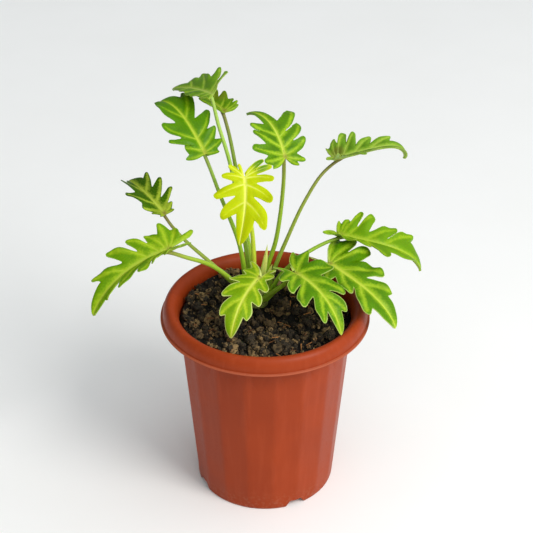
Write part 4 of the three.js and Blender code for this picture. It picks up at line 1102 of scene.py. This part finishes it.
def blade_finish(name, tint, knot):
    """The blade's skin in one leaf's colours, with a brown knot of that strength at its foot."""
    *shades, glow, margin, dark_web_and_shade, shine, _ = tint
    finish, tree, shader = new_finish(name, 0.4, shine, 0.05)
    values = {label: colour(*shade) for label, shade in zip(BLADE_SHADES, shades)}
    values |= zip(BLADE_MEASURES, (glow, margin, dark_web_and_shade, knot))
    marks = put("Group", values, tree, node_tree=bpy.data.node_groups["blade_marks"]).outputs
    tree.links.new(marks["Roughness"], shader.inputs["Roughness"])
    lay_on(shader, marks["Color"], marks["Height"], 0.35, 0.0002)
    return finish


for seed, (name, leaf) in enumerate(LEAVES.items()):
    tint = TINTS[leaf["tint"]]
    blade = make_blade("leafblade_" + name, leaf, np.random.default_rng(30 + seed))
    blade.data.materials.append(blade_finish("blade_skin_" + name, tint, leaf["blush"]))
    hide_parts("blade_" + name)
    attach(blade, "root")


# The photo table
# A pale board under the pot, a broad soft lamp high at the front right, and soft daylight from all round
# that is brightest on the lamp's side.
BOARD_SIDE = 4.0
bpy.ops.mesh.primitive_plane_add(size=BOARD_SIDE, location=(0, 0, 0))
board = bpy.context.object
board.name = "table"
board_finish, tree, shader = new_finish("pale_board", 0.85, 0.2)
place = put("TexCoord", {}, tree).outputs["Object"]
cloud = grain(place, 9.0, 4.0)
tree.links.new(mixed(cloud, colour(243, 242, 239), colour(248, 247, 245)), shader.inputs["Base Color"])
board.data.materials.append(board_finish)

LAMP_PLACE = Vector((0.95, -0.85, 1.3))
LAMP_TARGET = Vector((0, 0, 0.12))
lamp_data = bpy.data.lights.new("soft_lamp", "AREA")
lamp_data.shape = "DISK"
lamp_data.size = 0.85
lamp_data.energy = 19
lamp_data.color = (1.0, 0.985, 0.96)
lamp = bpy.data.objects.new("soft_lamp", lamp_data)
lamp.location = LAMP_PLACE
lamp.rotation_euler = (LAMP_TARGET - LAMP_PLACE).to_track_quat("-Z", "Y").to_euler()
bpy.context.scene.collection.objects.link(lamp)

BRIGHTEST_SKY = Vector((0.55, -0.42, 0.8)).normalized()
daylight = bpy.data.worlds.new("daylight")
daylight.use_nodes = True
sky = daylight.node_tree
direction = put("TexCoord", {}, sky).outputs["Generated"]
toward = put("VectorMath", {0: direction, 1: BRIGHTEST_SKY}, operation="DOT_PRODUCT").outputs["Value"]
sky.nodes["Background"].inputs["Color"].default_value = (0.93, 0.97, 1.0, 1)
sky.links.new(eased(toward, 0.15, 1.0, 0.31, 1.23), sky.nodes["Background"].inputs["Strength"])
bpy.context.scene.world = daylight
bpy.context.scene.view_settings.view_transform = "Standard"

# The camera looks down on the plant from its front, a little under 1.2 m away
SENSOR_WIDTH = 36
FOCAL_SHARE = 1500 / 533
camera_data = bpy.data.cameras.new("camera")
camera_data.sensor_width = SENSOR_WIDTH
camera_data.lens = SENSOR_WIDTH * FOCAL_SHARE
camera = bpy.data.objects.new("camera", camera_data)
camera.location = (0.001, -0.888, 0.743)
camera.rotation_euler = (math.radians(57.61), 0, 0)
bpy.context.scene.collection.objects.link(camera)
bpy.context.scene.camera = camera
